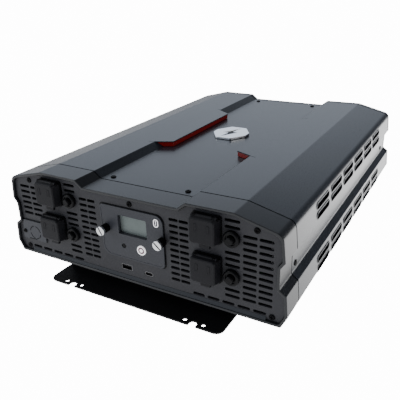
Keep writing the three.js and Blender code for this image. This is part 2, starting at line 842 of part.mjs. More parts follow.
function powerButton() {
  const z = level(buttonLevel);
  return join(
    rodY(buttonX, z, buttonRadius - 0.4, plateFront - 0.7, plateFront - 0.3, 20, buttonRadius),
    rodY(buttonX, z, buttonRadius, plateFront - 0.3, plateBack + 3, 20),
  );
}

function statusLens() {
  return rodY(lensX, level(buttonLevel), lensRadius, plateFront + 0.5, plateBack + 2, 14);
}

function thumbscrew(x) {
  const z = level(thumbLevel);
  const tip = frontY - thumbProud;
  const head = join(
    rodY(x, z, thumbRadius - 0.6, tip, tip + 0.6, 18, thumbRadius),
    rodY(x, z, thumbRadius, tip + 0.6, tip + 3, 18),
    rodY(x, z, thumbRadius - 0.5, tip + 3, plateFront - seamGap, 18),
    rodY(x, z, thumbShank, plateFront - 1, faceY + 10, 12),
  );
  return cut(head, box(x - thumbRadius, x + thumbRadius, tip - 1, tip + 1.3, z - 0.6, z + 0.6));
}

// ---------------------------------------------------------------- ports and wiring cover
function usbPort(x, height, width, tall, depth, radius) {
  const z = level(height);
  const wall = usbShell;
  const outer = polygon(roundedRect(x, z, width, tall, radius, 2));
  const innerRadius = Math.max(radius - wall, 0);
  const inner = polygon(roundedRect(x, z, width - 2 * wall, tall - 2 * wall, innerRadius, 2));
  return cut(prismY(outer, faceY + 0.2, faceY + depth), prismY(inner, faceY - 1, faceY + depth - 2));
}

function wiringCover() {
  const z = level(wiringLevel);
  const w = wiringWidth / 2;
  const h = wiringHeight / 2;
  const outline = rounded([
    [wiringX - w + 0.5, z - h, 3, 2],
    [wiringX + w, z - h, 2, 2],
    [wiringX + w, z + h, 2, 2],
    [wiringX - w + 4, z + h, 2, 2],
  ]);
  const y0 = faceY - seamGap - wiringPlate;
  const y1 = faceY - seamGap;
  const hubX = wiringX + 2.4;
  let cover = prismY(polygon(outline), y0, y1);
  for (let i = 0; i < 4; i += 1) {
    const arc = [];
    for (const radius of [knockoutRadius, knockoutRadius - 1]) {
      for (let k = 0; k <= knockoutSteps; k += 1) {
        const share = k / knockoutSteps;
        const along = radius === knockoutRadius ? share : 1 - share;
        const angle = (i + 0.1 + along * 0.8) * Math.PI / 2;
        arc.push([hubX + radius * Math.cos(angle), z - 2 + radius * Math.sin(angle)]);
      }
    }
    cover = cut(cover, prismY(polygon(arc), y0 - 1, y1 + 1));
  }
  return cut(cover, box(hubX - 11, hubX + 1, y0 - 1, y1 + 1, z - h - 1, z - h + 1.6));
}

function wiringBlock() {
  const z = level(wiringLevel);
  const y0 = faceY + panelThickness + 2;
  const middle = wiringX + 1.5;
  const half = wireHoleWidth / 2;
  let block = box(middle - half, middle + half, y0, y0 + 22, z - 9, z + 8);
  for (const way of [-1, 0, 1]) {
    const x = middle + way * wirePitch;
    block = cut(block, box(x - wireWayHalf, x + wireWayHalf, y0 - 1, y0 + 12, z - 4, z + 12));
  }
  return block;
}

// ---------------------------------------------------------------- trim, badge and brackets
function badge() {
  const cx = badgeX;
  const cy = frontY + badgeFromFront;
  const w = badgeWidth / 2;
  const h = badgeLength / 2;
  const quarter = [[w, h * 0.23], [w * 0.46, h]];
  const plate = [
    ...quarter,
    ...quarter.map(([x, y]) => [-x, y]).reverse(),
    ...quarter.map(([x, y]) => [-x, -y]),
    ...quarter.map(([x, y]) => [x, -y]).reverse(),
  ];
  const half = [[4, 20], [-10, -3], [-2, -3]];
  const bolt = [...half, ...half.map(([x, y]) => [-x - 1, -y])];
  const z0 = level(channelLevel) + seamGap;
  const outline = rounded(plate.map(([x, y]) => [cx + x, cy + y, 4, 3]));
  const engraving = prismZ(polygon(bolt.map(([x, y]) => [cx + x, cy + y])), z0 + badgeThickness - 1, z0 + 4);
  return cut(prismZ(polygon(outline), z0, z0 + badgeThickness), engraving);
}

function bracket(front) {
  const side = front ? -1 : 1;
  const outer = (front ? frontY : rearY) + side * bracketReach;
  const at = (reach) => outer - side * reach;
  const ySpan = (a, b) => sorted(at(a), at(b));
  const webOut = bracketReach + bracketWebSet;
  const top = standHeight - seamGap;
  const corners = rounded([
    [-bracketHalf, at(0), bracketCorner, 4], [bracketHalf, at(0), bracketCorner, 4],
    [bracketHalf, at(webOut), 0], [-bracketHalf, at(webOut), 0],
  ]);
  const plan = polygon(front ? corners : [...corners].reverse());
  const web = ySpan(webOut - bracketSheet, webOut);
  const flange = ySpan(webOut - bracketSheet, webOut + bracketFlange);
  let sheetMetal = join(
    prismZ(plan, 0, bracketSheet),
    box(-bracketHalf, bracketHalf, ...web, 0, top),
    box(-bracketHalf, bracketHalf, ...flange, top - bracketSheet, top),
  );
  for (const x of [-bracketNotchX, bracketNotchX]) {
    const r = bracketNotchWidth / 2;
    const notch = join(
      rodZ(x, at(bracketNotchDepth - r), r, -1, bracketSheet + 1, 14),
      box(x - r, x + r, ...ySpan(-1, bracketNotchDepth - r), -1, bracketSheet + 1),
    );
    sheetMetal = cut(sheetMetal, notch);
    for (const shift of [-bracketHoleSpread, bracketHoleSpread]) {
      const hole = rodZ(x + shift, at(bracketHoleSet), bracketHoleRadius, -1, bracketSheet + 1, 12);
      sheetMetal = cut(sheetMetal, hole);
    }
  }
  return sheetMetal;
}

// ---------------------------------------------------------------- rear fittings
const panelFront = backY - panelThickness;
const fanLevel = sheet + fanLift + fanSize / 2;
const fanBore = fanSize / 2 - fanRim;
const rotorRadius = fanBore - rotorClearance;

function rearPanel() {
  const holes = [];
  for (const x of [-fanX, fanX]) {
    holes.push(circle(x, level(fanLevel), fanBore - 1, 28));
  }
  for (const x of [-terminalX, terminalX]) {
    holes.push(circle(x, level(terminalLevel), terminalShank + 0.5, 14));
  }
  const portHoleWidth = remoteWidth + 2 * seamGap;
  holes.push(roundedRect(remoteX, level(remoteLevel), portHoleWidth, remoteHeight + 2 * seamGap, 0.5, 1));
  holes.push(circle(groundX, level(groundLevel), groundRod + 0.5, 12));
  return prismY(withHoles(section(panelInset), holes), panelFront, backY);
}

function fanFrame(x) {
  const z = level(fanLevel);
  const y1 = panelFront - seamGap;
  const y0 = y1 - fanDepth;
  const y2 = y0 + fanStrut;
  const outline = roundedRect(x, z, fanSize, fanSize, 4, 2);
  const reach = fanBore + 0.5;
  return join(
    prismY(withHoles(outline, [circle(x, z, fanBore, 28)]), y0, y1),
    rodY(x, z, hubRadius, y0, y2, 16),
    box(x - reach, x + reach, y0, y2, z - strutHalf, z + strutHalf),
    box(x - strutHalf, x + strutHalf, y0, y2, z - reach, z + reach),
  );
}

function fanRotor(x) {
  const z = level(fanLevel);
  const y1 = panelFront - seamGap - rotorRearGap;
  const y0 = panelFront - seamGap - fanDepth + rotorFrontGap;
  let rotor = rodY(x, z, hubRadius, y0, y1, 21);
  const blade = new THREE.BoxGeometry(rotorRadius - hubRadius + 3, 1.8, 15);
  blade.rotateX(0.7).translate((rotorRadius + hubRadius - 3) / 2, 0, 0);
  for (let i = 0; i < bladeCount; i += 1) {
    const turned = blade.clone().rotateY((i / bladeCount) * 2 * Math.PI).translate(x, (y0 + y1) / 2, z);
    rotor = rotor.add(solid(turned));
  }
  return rotor;
}

function fanGuard(x) {
  const z = level(fanLevel);
  const y0 = rearY + 0.4;
  const wire = guardWire;
  const sides = 16;
  const ringAt = (radius) => prismY(
    withHoles(circle(x, z, radius, sides), [circle(x, z, radius - wire, sides)]), y0, y0 + wire);
  const outer = fanBore + guardOverlap;
  const spread = fanBore + guardPost;
  let guard = rodY(x, z, guardHub, y0, y0 + wire, 12);
  for (let radius = outer; radius > guardHub + 2 * wire; radius -= guardPitch) {
    guard = guard.add(ringAt(radius));
  }
  for (let i = 0; i < 4; i += 1) {
    const spoke = new THREE.BoxGeometry(outer, wire, wire);
    const angle = (i + 0.5) * Math.PI / 2;
    spoke.translate(outer / 2, 0, 0).rotateY(angle).translate(x, y0 + wire / 2, z);
    guard = guard.add(solid(spoke));
    const px = x + spread * Math.cos(angle);
    const pz = z + spread * Math.sin(angle);
    guard = guard.add(rodY(px, pz, guardPost, backY + seamGap, y0 + wire, 8));
  }
  return guard;
}

function powerTerminal(x) {
  const z = level(terminalLevel);
  const y0 = backY + seamGap;
  return join(
    loftY(x, z, [
      [y0, terminalBase, terminalBase, 4],
      [y0 + terminalBaseHeight, terminalBase - 2, terminalBase - 2, 4],
    ], 2),
    rodY(x, z, terminalShank, panelFront - terminalInside, y0 + 1, 14),
    rodY(x, z, studRadius, y0 + 4, y0 + studLength, 16),
  );
}

function terminalKnob(x) {
  const z = level(terminalLevel);
  const y0 = backY + seamGap + terminalBaseHeight + seamGap;
  const outline = Array.from({ length: 3 * knobFlutes }, (_, i) => {
    const angle = (i / (3 * knobFlutes)) * 2 * Math.PI;
    const radius = i % 3 === 0 ? knobRadius - 1.4 : knobRadius;
    return [x + radius * Math.cos(angle), z + radius * Math.sin(angle)];
  });
  const knob = prismY(polygon(outline), y0, y0 + knobHeight);
  return cut(knob, rodY(x, z, studRadius + seamGap, y0 - 1, backY + studLength + 2 * seamGap + 0.2, 16));
}

function groundStud() {
  const z = level(groundLevel);
  return join(
    rodY(groundX, z, groundRod, panelFront - 6, backY + 10, 12),
    rodY(groundX, z, 2 * groundRod, backY + seamGap, backY + 5.5, 6),
  );
}

function remotePort() {
  const z = level(remoteLevel);
  const w = remoteWidth / 2;
  const h = remoteHeight / 2;
  const floorY = backY - remoteDepth;
  const outer = box(remoteX - w, remoteX + w, floorY, backY - 0.2, z - h, z + h);
  const half = w - remoteWall;
  const socket = box(remoteX - half, remoteX + half, floorY + remoteWall, backY + 1, z - 4.5, z + 4);
  return cut(outer, socket);
}

// ---------------------------------------------------------------- inside
const floorTop = level(sheet);
const boardZ = floorTop + boardStandoff;
const boardFront = frontSeamY + boardFrontSet;
const boardRear = rearSeamY - boardRearSet;
const sinkX = grooveX - sinkInset;
const partsZ = boardZ + boardThickness + seamGap;

function mainBoard() {
  let board = box(-sinkX + 6, sinkX - 6, boardFront, boardRear, boardZ, boardZ + boardThickness);
  for (const x of [-sinkX + 14, sinkX - 14]) {
    for (const y of [boardFront + 10, boardRear - 10]) {
      board = board.add(rodZ(x, y, 4, floorTop + seamGap, boardZ + 0.5, 8));
    }
  }
  return board;
}

function heatSink(side) {
  const low = level(sinkFoot);
  const high = level(sinkTop);
  const pitch = (high - low) / finCount;
  const plateX = sinkX + sinkPlate;
  const finX = sinkX + sinkDepth;
  const comb = [[sinkX, low], [plateX, low]];
  for (let i = 0; i < finCount; i += 1) {
    const under = low + (i + 0.3) * pitch;
    const over = low + (i + 0.6) * pitch;
    comb.push([plateX, under], [finX, under], [finX, over], [plateX, over]);
  }
  comb.push([plateX, high], [sinkX, high]);
  const outline = comb.map(([x, z]) => [side * x, z]);
  return prismY(polygon(side > 0 ? outline : [...outline].reverse()), boardFront, boardRear);
}

// A stack of laminations, with the winding standing proud of it front and rear.
function transformer(y) {
  const x = transformerX;
  const core = transformerCore / 2;
  const coil = transformerCoil / 2;
  return join(
    box(x - core, x + core, y - 14, y + 14, partsZ + 8, partsZ + transformerHeight),
    box(x - 26, x + 26, y - coil, y + coil, partsZ, partsZ + transformerHeight - 16),
  );
}

function capacitor(y) {
  return rodZ(capacitorX, y, capacitorRadius, partsZ, partsZ + capacitorHeight, 16);
}

function busBar(x) {
  const z = level(terminalLevel);
  const y1 = panelFront - terminalInside - seamGap;
  const y0 = boardRear - 20;
  const low = z - busHalf;
  const outline = [
    [y1, low], [y1, z + busHalf], [y1 - busSheet, z + busHalf],
    [y1 - busSheet, low + busSheet], [y0, low + busSheet], [y0, low],
  ];
  return prismX(polygon(outline), x - busHalf + 1, x + busHalf - 1);
}

// ---------------------------------------------------------------- assembly
place('top_cover', topCover(), coatedSteel);
place('base_pan', basePan(), coatedSteel);
place('front_cap', endCap(true), capPlastic);
place('rear_cap', endCap(false), capPlastic);
place('front_panel', frontPanel(), capPlastic);
place('rear_panel', rearPanel(), capPlastic);
place('left_trim', trimStrip(-1), redLens);
place('right_trim', trimStrip(1), redLens);
place('badge', badge(), chrome);

for (const [sideName, x] of [['left', outletLeftX], ['right', outletRightX]]) {
  outletLevels.forEach((height, i) => {
    const where = `${sideName}_${i === 0 ? 'upper' : 'lower'}`;
    place(`outlet_${where}`, outletBody(x, height), blackPlastic);
    place(`outlet_lid_${where}`, outletLid(x, height), blackPlastic);
  });
  breakerLevels.forEach((height, i) => {
    const where = `${sideName}_${i === 0 ? 'upper' : 'lower'}`;
    place(`breaker_${where}`, breakerBody(x + breakerOffset, height), blackPlastic);
    place(`breaker_button_${where}`, breakerPush(x + breakerOffset, height), clearCap);
  });
}

place('display_housing', displayHousing(), greyPlastic);
place('display_window', displayWindow(), paleGlass);
place('display_board', displayBoard(), boardGreen);
place('power_button', powerButton(), whitePlastic);
place('status_lens', statusLens(), blackPlastic);
place('thumbscrew_left', thumbscrew(thumbLeftX), brightSteel);
place('thumbscrew_right', thumbscrew(thumbRightX), brightSteel);
place('usb_a_port', usbPort(usbAX, usbLevel, usbAWidth, usbAHeight, usbADepth, 0.6), brightSteel);
place('usb_c_port', usbPort(usbCX, usbCLevel, usbCWidth, usbCHeight, usbCDepth, 2), brightSteel);
place('wiring_cover', wiringCover(), greyPlastic);
place('wiring_block', wiringBlock(), blackPlastic);
place('front_bracket', bracket(true), blackSteel);
place('rear_bracket', bracket(false), blackSteel);

for (const [sideName, side] of [['left', -1], ['right', 1]]) {
  place(`fan_frame_${sideName}`, fanFrame(side * fanX), blackPlastic);
  place(`fan_rotor_${sideName}`, fanRotor(side * fanX), blackPlastic);
  place(`fan_guard_${sideName}`, fanGuard(side * fanX), brightSteel);
  place(`heat_sink_${sideName}`, heatSink(side), aluminium);
}
place('positive_terminal', powerTerminal(-terminalX), brightSteel);
place('negative_terminal', powerTerminal(terminalX), brightSteel);
place('positive_knob', terminalKnob(-terminalX), redPlastic);
place('negative_knob', terminalKnob(terminalX), blackPlastic);
place('positive_bus_bar', busBar(-terminalX), copper);
place('negative_bus_bar', busBar(terminalX), copper);
place('ground_stud', groundStud(), brightSteel);
place('remote_port', remotePort(), blackPlastic);
place('main_board', mainBoard(), boardGreen);
place('front_transformer', transformer(boardFront + 60), coilIron);
place('rear_transformer', transformer(boardFront + 160), coilIron);
place('front_capacitor', capacitor(boardFront + 60), capSleeve);
place('rear_capacitor', capacitor(boardFront + 110), capSleeve);

export default inverter;
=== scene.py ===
import json
import math

import bpy
from mathutils import Matrix, Vector


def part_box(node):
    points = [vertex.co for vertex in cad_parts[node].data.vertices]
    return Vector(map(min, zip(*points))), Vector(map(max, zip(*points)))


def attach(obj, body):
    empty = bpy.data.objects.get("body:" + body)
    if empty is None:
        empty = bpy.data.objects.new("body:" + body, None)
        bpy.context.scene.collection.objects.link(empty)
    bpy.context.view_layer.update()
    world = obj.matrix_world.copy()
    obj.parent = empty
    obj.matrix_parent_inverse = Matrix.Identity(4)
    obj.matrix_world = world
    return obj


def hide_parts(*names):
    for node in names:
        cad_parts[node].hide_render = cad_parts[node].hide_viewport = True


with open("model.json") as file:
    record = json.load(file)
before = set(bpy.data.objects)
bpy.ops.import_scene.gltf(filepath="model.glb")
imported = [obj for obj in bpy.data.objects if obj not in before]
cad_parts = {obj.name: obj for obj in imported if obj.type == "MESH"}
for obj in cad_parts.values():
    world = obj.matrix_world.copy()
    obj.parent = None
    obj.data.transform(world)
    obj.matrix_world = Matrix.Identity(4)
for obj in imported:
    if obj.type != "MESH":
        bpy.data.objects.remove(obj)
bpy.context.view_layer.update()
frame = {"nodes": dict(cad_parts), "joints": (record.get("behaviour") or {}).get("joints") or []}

# Power inverter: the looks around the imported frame. Sizes are in millimetres unless said
# otherwise, +Z up, the outlet face towards -Y.
MM = 0.001


def box_of(node):
    """Lowest and highest corners of a node, in millimetres."""
    low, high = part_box(node)
    return low / MM, high / MM


def span_of(node):
    """Lowest corner, highest corner and middle of a node, in millimetres."""
    low, high = box_of(node)
    return low, high, (low + high) / 2


def middle(node):
    return span_of(node)[2]


# ------------------------------------------------------------------ sizes read from the frame
pan_low, pan_high = box_of("base_pan")
cover_low, cover_high = box_of("top_cover")
FLOOR = pan_low.z
HALF = pan_high.x
TALL = cover_high.z - FLOOR
SPLIT = (pan_high.z + cover_low.z) / 2
FRONT = box_of("front_cap")[0].y
REAR = box_of("rear_cap")[1].y
FACE = box_of("front_panel")[0].y
BACK = box_of("rear_panel")[1].y
SEAM_FRONT = cover_low.y
SEAM_REAR = cover_high.y

# ------------------------------------------------------------------ sizes of the looks
SEAM = 0.3
CAP_SEAM = 1.6
SHEET = 2
CAP_WALL = 3
CHANNEL_HALF = 57.7
LEDGE_HALF = 66.8
CHANNEL_DROP = 7.6
LEDGE_DROP = 0.4
GROOVE_INSET = 8.9
EAVE = 11.9
RIDGE = 53.9
BUMP_SKIN = 1.3
BUMP_INNER = 45
BUMP_TIP = 74.5
LIP_HALF = 149.9
CHANNEL = FLOOR + TALL - CHANNEL_DROP
LEDGE = FLOOR + TALL - LEDGE_DROP

CASING_SCREW, COVER_SCREW = 3.1, 2.6
OUTLET_FLANGE = (31, 29.5, 3)
OUTLET_CORE = (26, 24.5, 2)
OUTLET_OPENING = (26.6, 25.1, 2)
BLADE_SPREAD = 6.35
HINGE_PIN = 1
LID_SIZE = (30, 28.7, 3.6)
LID_PUT_IN = (0.87, 1, 0.89)
NUT_RADIUS, BARREL_RADIUS, BUTTON_RADIUS = 8.3, 5.4, 4
TRAY_X, TRAY_SIZE, TRAY_WALL = 4.5, (57, 51.7), 1.8
WINDOW_OPENING = (35.5, 21.5, 1.2)
WINDOW_SURROUND = (38.5, 24.5, 2)
POWER_RADIUS, LENS_RADIUS = 5.2, 2.4
THUMB_RADIUS, THUMB_SHANK = 5.2, 2
KNOCKOUT_RADIUS, KNOCKOUT_SLIT = 8.5, 1
FAN_SIZE, FAN_BORE, FAN_HUB, FAN_STRUT = 80, 38, 17, 4
GUARD_RINGS, GUARD_WIRE, GUARD_BOSS = (13, 20, 27, 34, 41), 0.8, 7.5
TERMINAL_SIDE, TERMINAL_SHANK, TERMINAL_STUD = 34, 7.5, 5
KNOB_RADIUS, KNOB_FLUTE = 12, 11.1

# Right half of the section from the floor up: inset from the widest line, height, corner radius
SECTION = [
    (6.6, 0, 2.5), (0, 13, 4), (1.8, 35.8, 2), (GROOVE_INSET, 41.1, 3), (GROOVE_INSET, 62.2, 3),
    (4.2, 69.1, 0.8), (6.8, TALL - EAVE, 9), (RIDGE, TALL, 8),
    (HALF - LEDGE_HALF, TALL - LEDGE_DROP, 1.2), (HALF - CHANNEL_HALF, TALL - CHANNEL_DROP, 1.2),
]


# ------------------------------------------------------------------ outlines
def offset(corners, distance):
    """Moves a closed outline of (x, y, radius) corners inwards by one distance."""
    made = []
    for i, (x, y, radius) in enumerate(corners):
        before, after = corners[i - 1], corners[(i + 1) % len(corners)]
        u = Vector((x - before[0], y - before[1])).normalized()
        v = Vector((after[0] - x, after[1] - y)).normalized()
        turn = 1 + u.dot(v)
        made.append((x - distance * (u.y + v.y) / turn, y + distance * (u.x + v.x) / turn, radius))
    return made


def rounded(corners, step=11):
    """The points of a closed outline, with an arc of its own radius at each corner."""
    made = []
    for i, (x, y, radius) in enumerate(corners):
        corner = Vector((x, y))
        back = (Vector(corners[i - 1][:2]) - corner).normalized()
        ahead = (Vector(corners[(i + 1) % len(corners)][:2]) - corner).normalized()
        half = back.angle(ahead) / 2
        if radius < 0.05:
            made.append((x, y))
            continue
        centre = corner + (back + ahead).normalized() * radius / math.sin(half)
        first = corner + back * radius / math.tan(half) - centre
        last = corner + ahead * radius / math.tan(half) - centre
        begin = math.atan2(first.y, first.x)
        sweep = (math.atan2(last.y, last.x) - begin + math.pi) % (2 * math.pi) - math.pi
        count = max(2, math.ceil(abs(math.degrees(sweep)) / step))
        for k in range(count + 1):
            angle = begin + sweep * k / count
            made.append((centre.x + radius * math.cos(angle), centre.y + radius * math.sin(angle)))
    return made


def section(distance):
    """The body's section, inset by a distance, counterclockwise in X and Z."""
    right = [(HALF - inset, FLOOR + height, radius) for inset, height, radius in SECTION]
    left = [(-x, z, radius) for x, z, radius in reversed(right)]
    return rounded(offset(right + left, distance))


def rounded_box(x, z, width, height, radius, step=15):
    w, h = width / 2, height / 2
    corners = [(x - w, z - h), (x + w, z - h), (x + w, z + h), (x - w, z + h)]
    return rounded([(a, b, radius) for a, b in corners], step)


def ring_points(x, z, radius, count, inner=None):
    """Points on a circle; with an inner radius every other pair steps in, as on a knurl."""
    made = []
    for k in range(count):
        r = inner if inner and k % 4 < 2 else radius
        angle = 2 * math.pi * k / count
        made.append((x + r * math.cos(angle), z + r * math.sin(angle)))
    return made


# ------------------------------------------------------------------ modelling with operators
AXES = {
    "X": lambda a, b, c: Vector((c, a, b)) * MM,
    "Y": lambda a, b, c: Vector((a, c, b)) * MM,
    "Z": lambda a, b, c: Vector((a, b, c)) * MM,
}
TURNS = {"X": (0, math.pi / 2, 0), "Y": (math.pi / 2, 0, 0), "Z": (0, 0, 0)}


def only(piece):
    """Selects one piece and nothing else, so that operators act on it alone."""
    bpy.ops.object.select_all(action="DESELECT")
    piece.select_set(True)
    bpy.context.view_layer.objects.active = piece


def settle(piece, name):
    """Gives a new piece its name and moves its place into its mesh."""
    piece.name = piece.data.name = name
    only(piece)
    bpy.ops.object.transform_apply(location=True, rotation=True, scale=True)
    return piece


def choose(piece, test, kind="FACE"):
    """Goes into edit mode with the faces or points selected whose middle passes a test, in millimetres."""
    only(piece)
    bpy.ops.object.mode_set(mode="EDIT")
    bpy.ops.mesh.select_mode(type=kind)
    bpy.ops.mesh.select_all(action="DESELECT")
    bpy.ops.object.mode_set(mode="OBJECT")
    if kind == "FACE":
        for face in piece.data.polygons:
            face.select = test(face.center / MM, face.normal)
    else:
        for point in piece.data.vertices:
            point.select = test(point.co / MM)
    bpy.ops.object.mode_set(mode="EDIT")


def leave():
    bpy.ops.object.mode_set(mode="OBJECT")


def traced(corners):
    """Draws a chain of points through the corners and stays in edit mode with all of it selected."""
    bpy.ops.object.select_all(action="DESELECT")
    bpy.ops.mesh.primitive_plane_add(size=MM, location=corners[0])
    bpy.ops.object.mode_set(mode="EDIT")
    bpy.ops.mesh.select_mode(type="VERT")
    bpy.ops.mesh.merge(type="CENTER")
    for here, there in zip(corners, corners[1:]):
        bpy.ops.mesh.extrude_vertices_move(TRANSFORM_OT_translate={"value": there - here})
    bpy.ops.mesh.select_all(action="SELECT")
    return bpy.context.object


def pushed(piece, name, push):
    """Pushes the selected faces along and closes the body."""
    bpy.ops.mesh.extrude_region_move(TRANSFORM_OT_translate={"value": push})
    bpy.ops.mesh.select_all(action="SELECT")
    bpy.ops.mesh.normals_make_consistent(inside=False)
    leave()
    return settle(piece, name)


def prism(name, outline, low, high, axis="Y"):
    """An outline traced corner by corner, filled, and pushed along an axis from low to high."""
    place = AXES[axis]
    piece = traced([place(a, b, low) for a, b in outline])
    bpy.ops.mesh.edge_face_add()
    return pushed(piece, name, place(0, 0, high - low))


def band(name, outer, inner, low, high, closed=True):
    """The wall between two matching outlines, pushed along Y from low to high."""
    rails = []
    for outline in (outer, inner):
        rails.append(traced([AXES["Y"](a, b, low) for a, b in outline]))
        if closed:
            bpy.ops.mesh.edge_face_add()
            bpy.ops.mesh.delete(type="ONLY_FACE")
        leave()
    piece = joined(rails, name)
    bpy.ops.object.mode_set(mode="EDIT")
    bpy.ops.mesh.select_all(action="SELECT")
    bpy.ops.mesh.bridge_edge_loops()
    bpy.ops.mesh.select_all(action="SELECT")
    return pushed(piece, name, AXES["Y"](0, 0, high - low))


def block(name, low, high):
    low, high = Vector(low) * MM, Vector(high) * MM
    bpy.ops.object.select_all(action="DESELECT")
    bpy.ops.mesh.primitive_cube_add(size=1, location=(low + high) / 2, scale=high - low)
    return settle(bpy.context.object, name)


def drum(name, centre, radius, low, high, axis="Y", sides=48):
    """A cylinder along an axis; centre gives its place across the axis."""
    place = AXES[axis](centre[0], centre[1], (low + high) / 2)
    bpy.ops.object.select_all(action="DESELECT")
    bpy.ops.mesh.primitive_cylinder_add(
        vertices=sides, radius=radius * MM, depth=(high - low) * MM, location=place,
        rotation=TURNS[axis])
    return settle(bpy.context.object, name)


def slot(centre, length, height, low, high, axis="Y"):
    """A round-ended cutter: a drum whose two halves are pulled apart."""
    piece = drum("slot", centre, height / 2, low, high, axis, sides=18)
    side = {"X": 1, "Y": 0, "Z": 0}[axis]
    reach = (length - height) / 2
    for way in (1, -1):
        choose(piece, lambda at: way * (at[side] - centre[0]) > 1e-3, "VERT")
        value = [0, 0, 0]
        value[side] = way * reach * MM
        bpy.ops.transform.translate(value=value)
        leave()
    return piece


def copy_of(piece, name, shift=(0, 0, 0), turn=None):
    """A copy with its own mesh, turned about the origin and moved."""
    twin = piece.copy()
    twin.data = piece.data.copy()
    bpy.context.scene.collection.objects.link(twin)
    matrix = Matrix.Translation(Vector(shift) * MM) @ (turn or Matrix.Identity(4))
    twin.data.transform(matrix)
    twin.name = twin.data.name = name
    return twin


def turn_about(at, angle):
    """A turn about the line through a place along Y."""
    centre = Matrix.Translation(at * MM)
    return centre @ Matrix.Rotation(angle, 4, "Y") @ centre.inverted()


def joined(pieces, name):
    bpy.ops.object.select_all(action="DESELECT")
    for piece in pieces:
        piece.select_set(True)
    bpy.context.view_layer.objects.active = pieces[0]
    bpy.ops.object.join()
    return settle(bpy.context.object, name)


def boolean(piece, tools, operation="DIFFERENCE"):
    """Cuts, joins or keeps a piece by tools that don't touch each other."""
    tool = joined(tools, "tool") if len(tools) > 1 else tools[0]
    only(piece)
    modifier = piece.modifiers.new("shape", "BOOLEAN")
    modifier.operation = operation
    modifier.solver = "EXACT"
    modifier.object = tool
    bpy.ops.object.modifier_apply(modifier=modifier.name)
    bpy.data.objects.remove(tool)
    return piece


def cut(piece, *tools):
    return boolean(piece, list(tools))


def add(piece, *tools):
    for tool in tools:
        boolean(piece, [tool], "UNION")
    return piece


def soften(piece, width, segments=2, angle=35):
    """Rounds the sharp edges and shades the rest smooth."""
    only(piece)
    if width:
        modifier = piece.modifiers.new("edge", "BEVEL")
        modifier.width = width * MM
        modifier.segments = segments
        modifier.limit_method = "ANGLE"
        modifier.angle_limit = math.radians(angle)
        bpy.ops.object.modifier_apply(modifier=modifier.name)
    bpy.ops.object.shade_smooth_by_angle(angle=math.radians(38))
    modifier = piece.modifiers.new("flats", "WEIGHTED_NORMAL")
    modifier.keep_sharp = True
    modifier.weight = 80
    bpy.ops.object.modifier_apply(modifier=modifier.name)
    return piece


FORWARD, REARWARD, UPWARD = Vector((0, -1, 0)), Vector((0, 1, 0)), Vector((0, 0, 1))


def round_rim(piece, way, width, segments=3):
    """Rounds the rim of the end that faces a way."""
    choose(piece, lambda at, normal: normal.dot(way) > 0.9)
    bpy.ops.mesh.bevel(offset=width * MM, segments=segments, affect="EDGES")
    leave()


def dish(piece, way, border, depth):
    """Sinks the end that faces a way, with a sloped border; a negative depth raises it."""
    choose(piece, lambda at, normal: normal.dot(way) > 0.99)
    bpy.ops.mesh.inset(thickness=border * MM)
    bpy.ops.transform.translate(value=way * -depth * MM)
    leave()


def recess(piece, way, border, depth):
    """Sinks the end that faces a way, with a border and an upright wall."""
    choose(piece, lambda at, normal: normal.dot(way) > 0.99)
    bpy.ops.mesh.inset(thickness=border * MM)
    bpy.ops.mesh.extrude_region_move(TRANSFORM_OT_translate={"value": way * -depth * MM})
    leave()


# ------------------------------------------------------------------ materials
def socket(group, name, kind, way, default=None):
    made = group.interface.new_socket(name=name, in_out=way, socket_type=kind)
    if default is not None:
        made.default_value = default
    return made


def surface_group():
    """Fine grain and slow drift of tone: Tone from 0 to 1, Rough and Height."""
    group = bpy.data.node_groups.new("moulded_or_coated_surface", "ShaderNodeTree")
    for name, default in (("Grain size", 900.0), ("Grain depth", 0.4), ("Drift size", 14.0),
                          ("Rough", 0.5), ("Rough spread", 0.08)):
        socket(group, name, "NodeSocketFloat", "INPUT", default)
    for name in ("Tone", "Rough", "Height"):
        socket(group, name, "NodeSocketFloat", "OUTPUT")
    nodes, links = group.nodes, group.links
    ends = nodes.new("NodeGroupInput"), nodes.new("NodeGroupOutput")
    place = nodes.new("ShaderNodeTexCoord")
    grain = nodes.new("ShaderNodeTexNoise")
    drift = nodes.new("ShaderNodeTexNoise")
    grain.inputs["Detail"].default_value = 2
    drift.inputs["Detail"].default_value = 4
    for noise, size in ((grain, "Grain size"), (drift, "Drift size")):
        links.new(place.outputs["Object"], noise.inputs["Vector"])
        links.new(ends[0].outputs[size], noise.inputs["Scale"])
    spread = nodes.new("ShaderNodeMapRange")
    spread.inputs["From Min"].default_value = 0.3
    spread.inputs["From Max"].default_value = 0.7
    links.new(drift.outputs["Fac"], spread.inputs["Value"])
    links.new(spread.outputs["Result"], ends[1].inputs["Tone"])
    rough = nodes.new("ShaderNodeMath")
    rough.operation = "MULTIPLY_ADD"
    shift = nodes.new("ShaderNodeMath")
    shift.operation = "SUBTRACT"
    shift.inputs[1].default_value = 0.5
    links.new(grain.outputs["Fac"], shift.inputs[0])
    links.new(shift.outputs[0], rough.inputs[0])
    links.new(ends[0].outputs["Rough spread"], rough.inputs[1])
    links.new(ends[0].outputs["Rough"], rough.inputs[2])
    links.new(rough.outputs[0], ends[1].inputs["Rough"])
    height = nodes.new("ShaderNodeMath")
    height.operation = "MULTIPLY"
    links.new(grain.outputs["Fac"], height.inputs[0])
    links.new(ends[0].outputs["Grain depth"], height.inputs[1])
    links.new(height.outputs[0], ends[1].inputs["Height"])
    return group


SURFACE = surface_group()


def new_finish(name):
    """A new material, with its nodes, its links and its shader."""
    material = bpy.data.materials.new(name)
    material.use_nodes = True
    tree = material.node_tree
    return material, tree.nodes, tree.links, tree.nodes["Principled BSDF"]


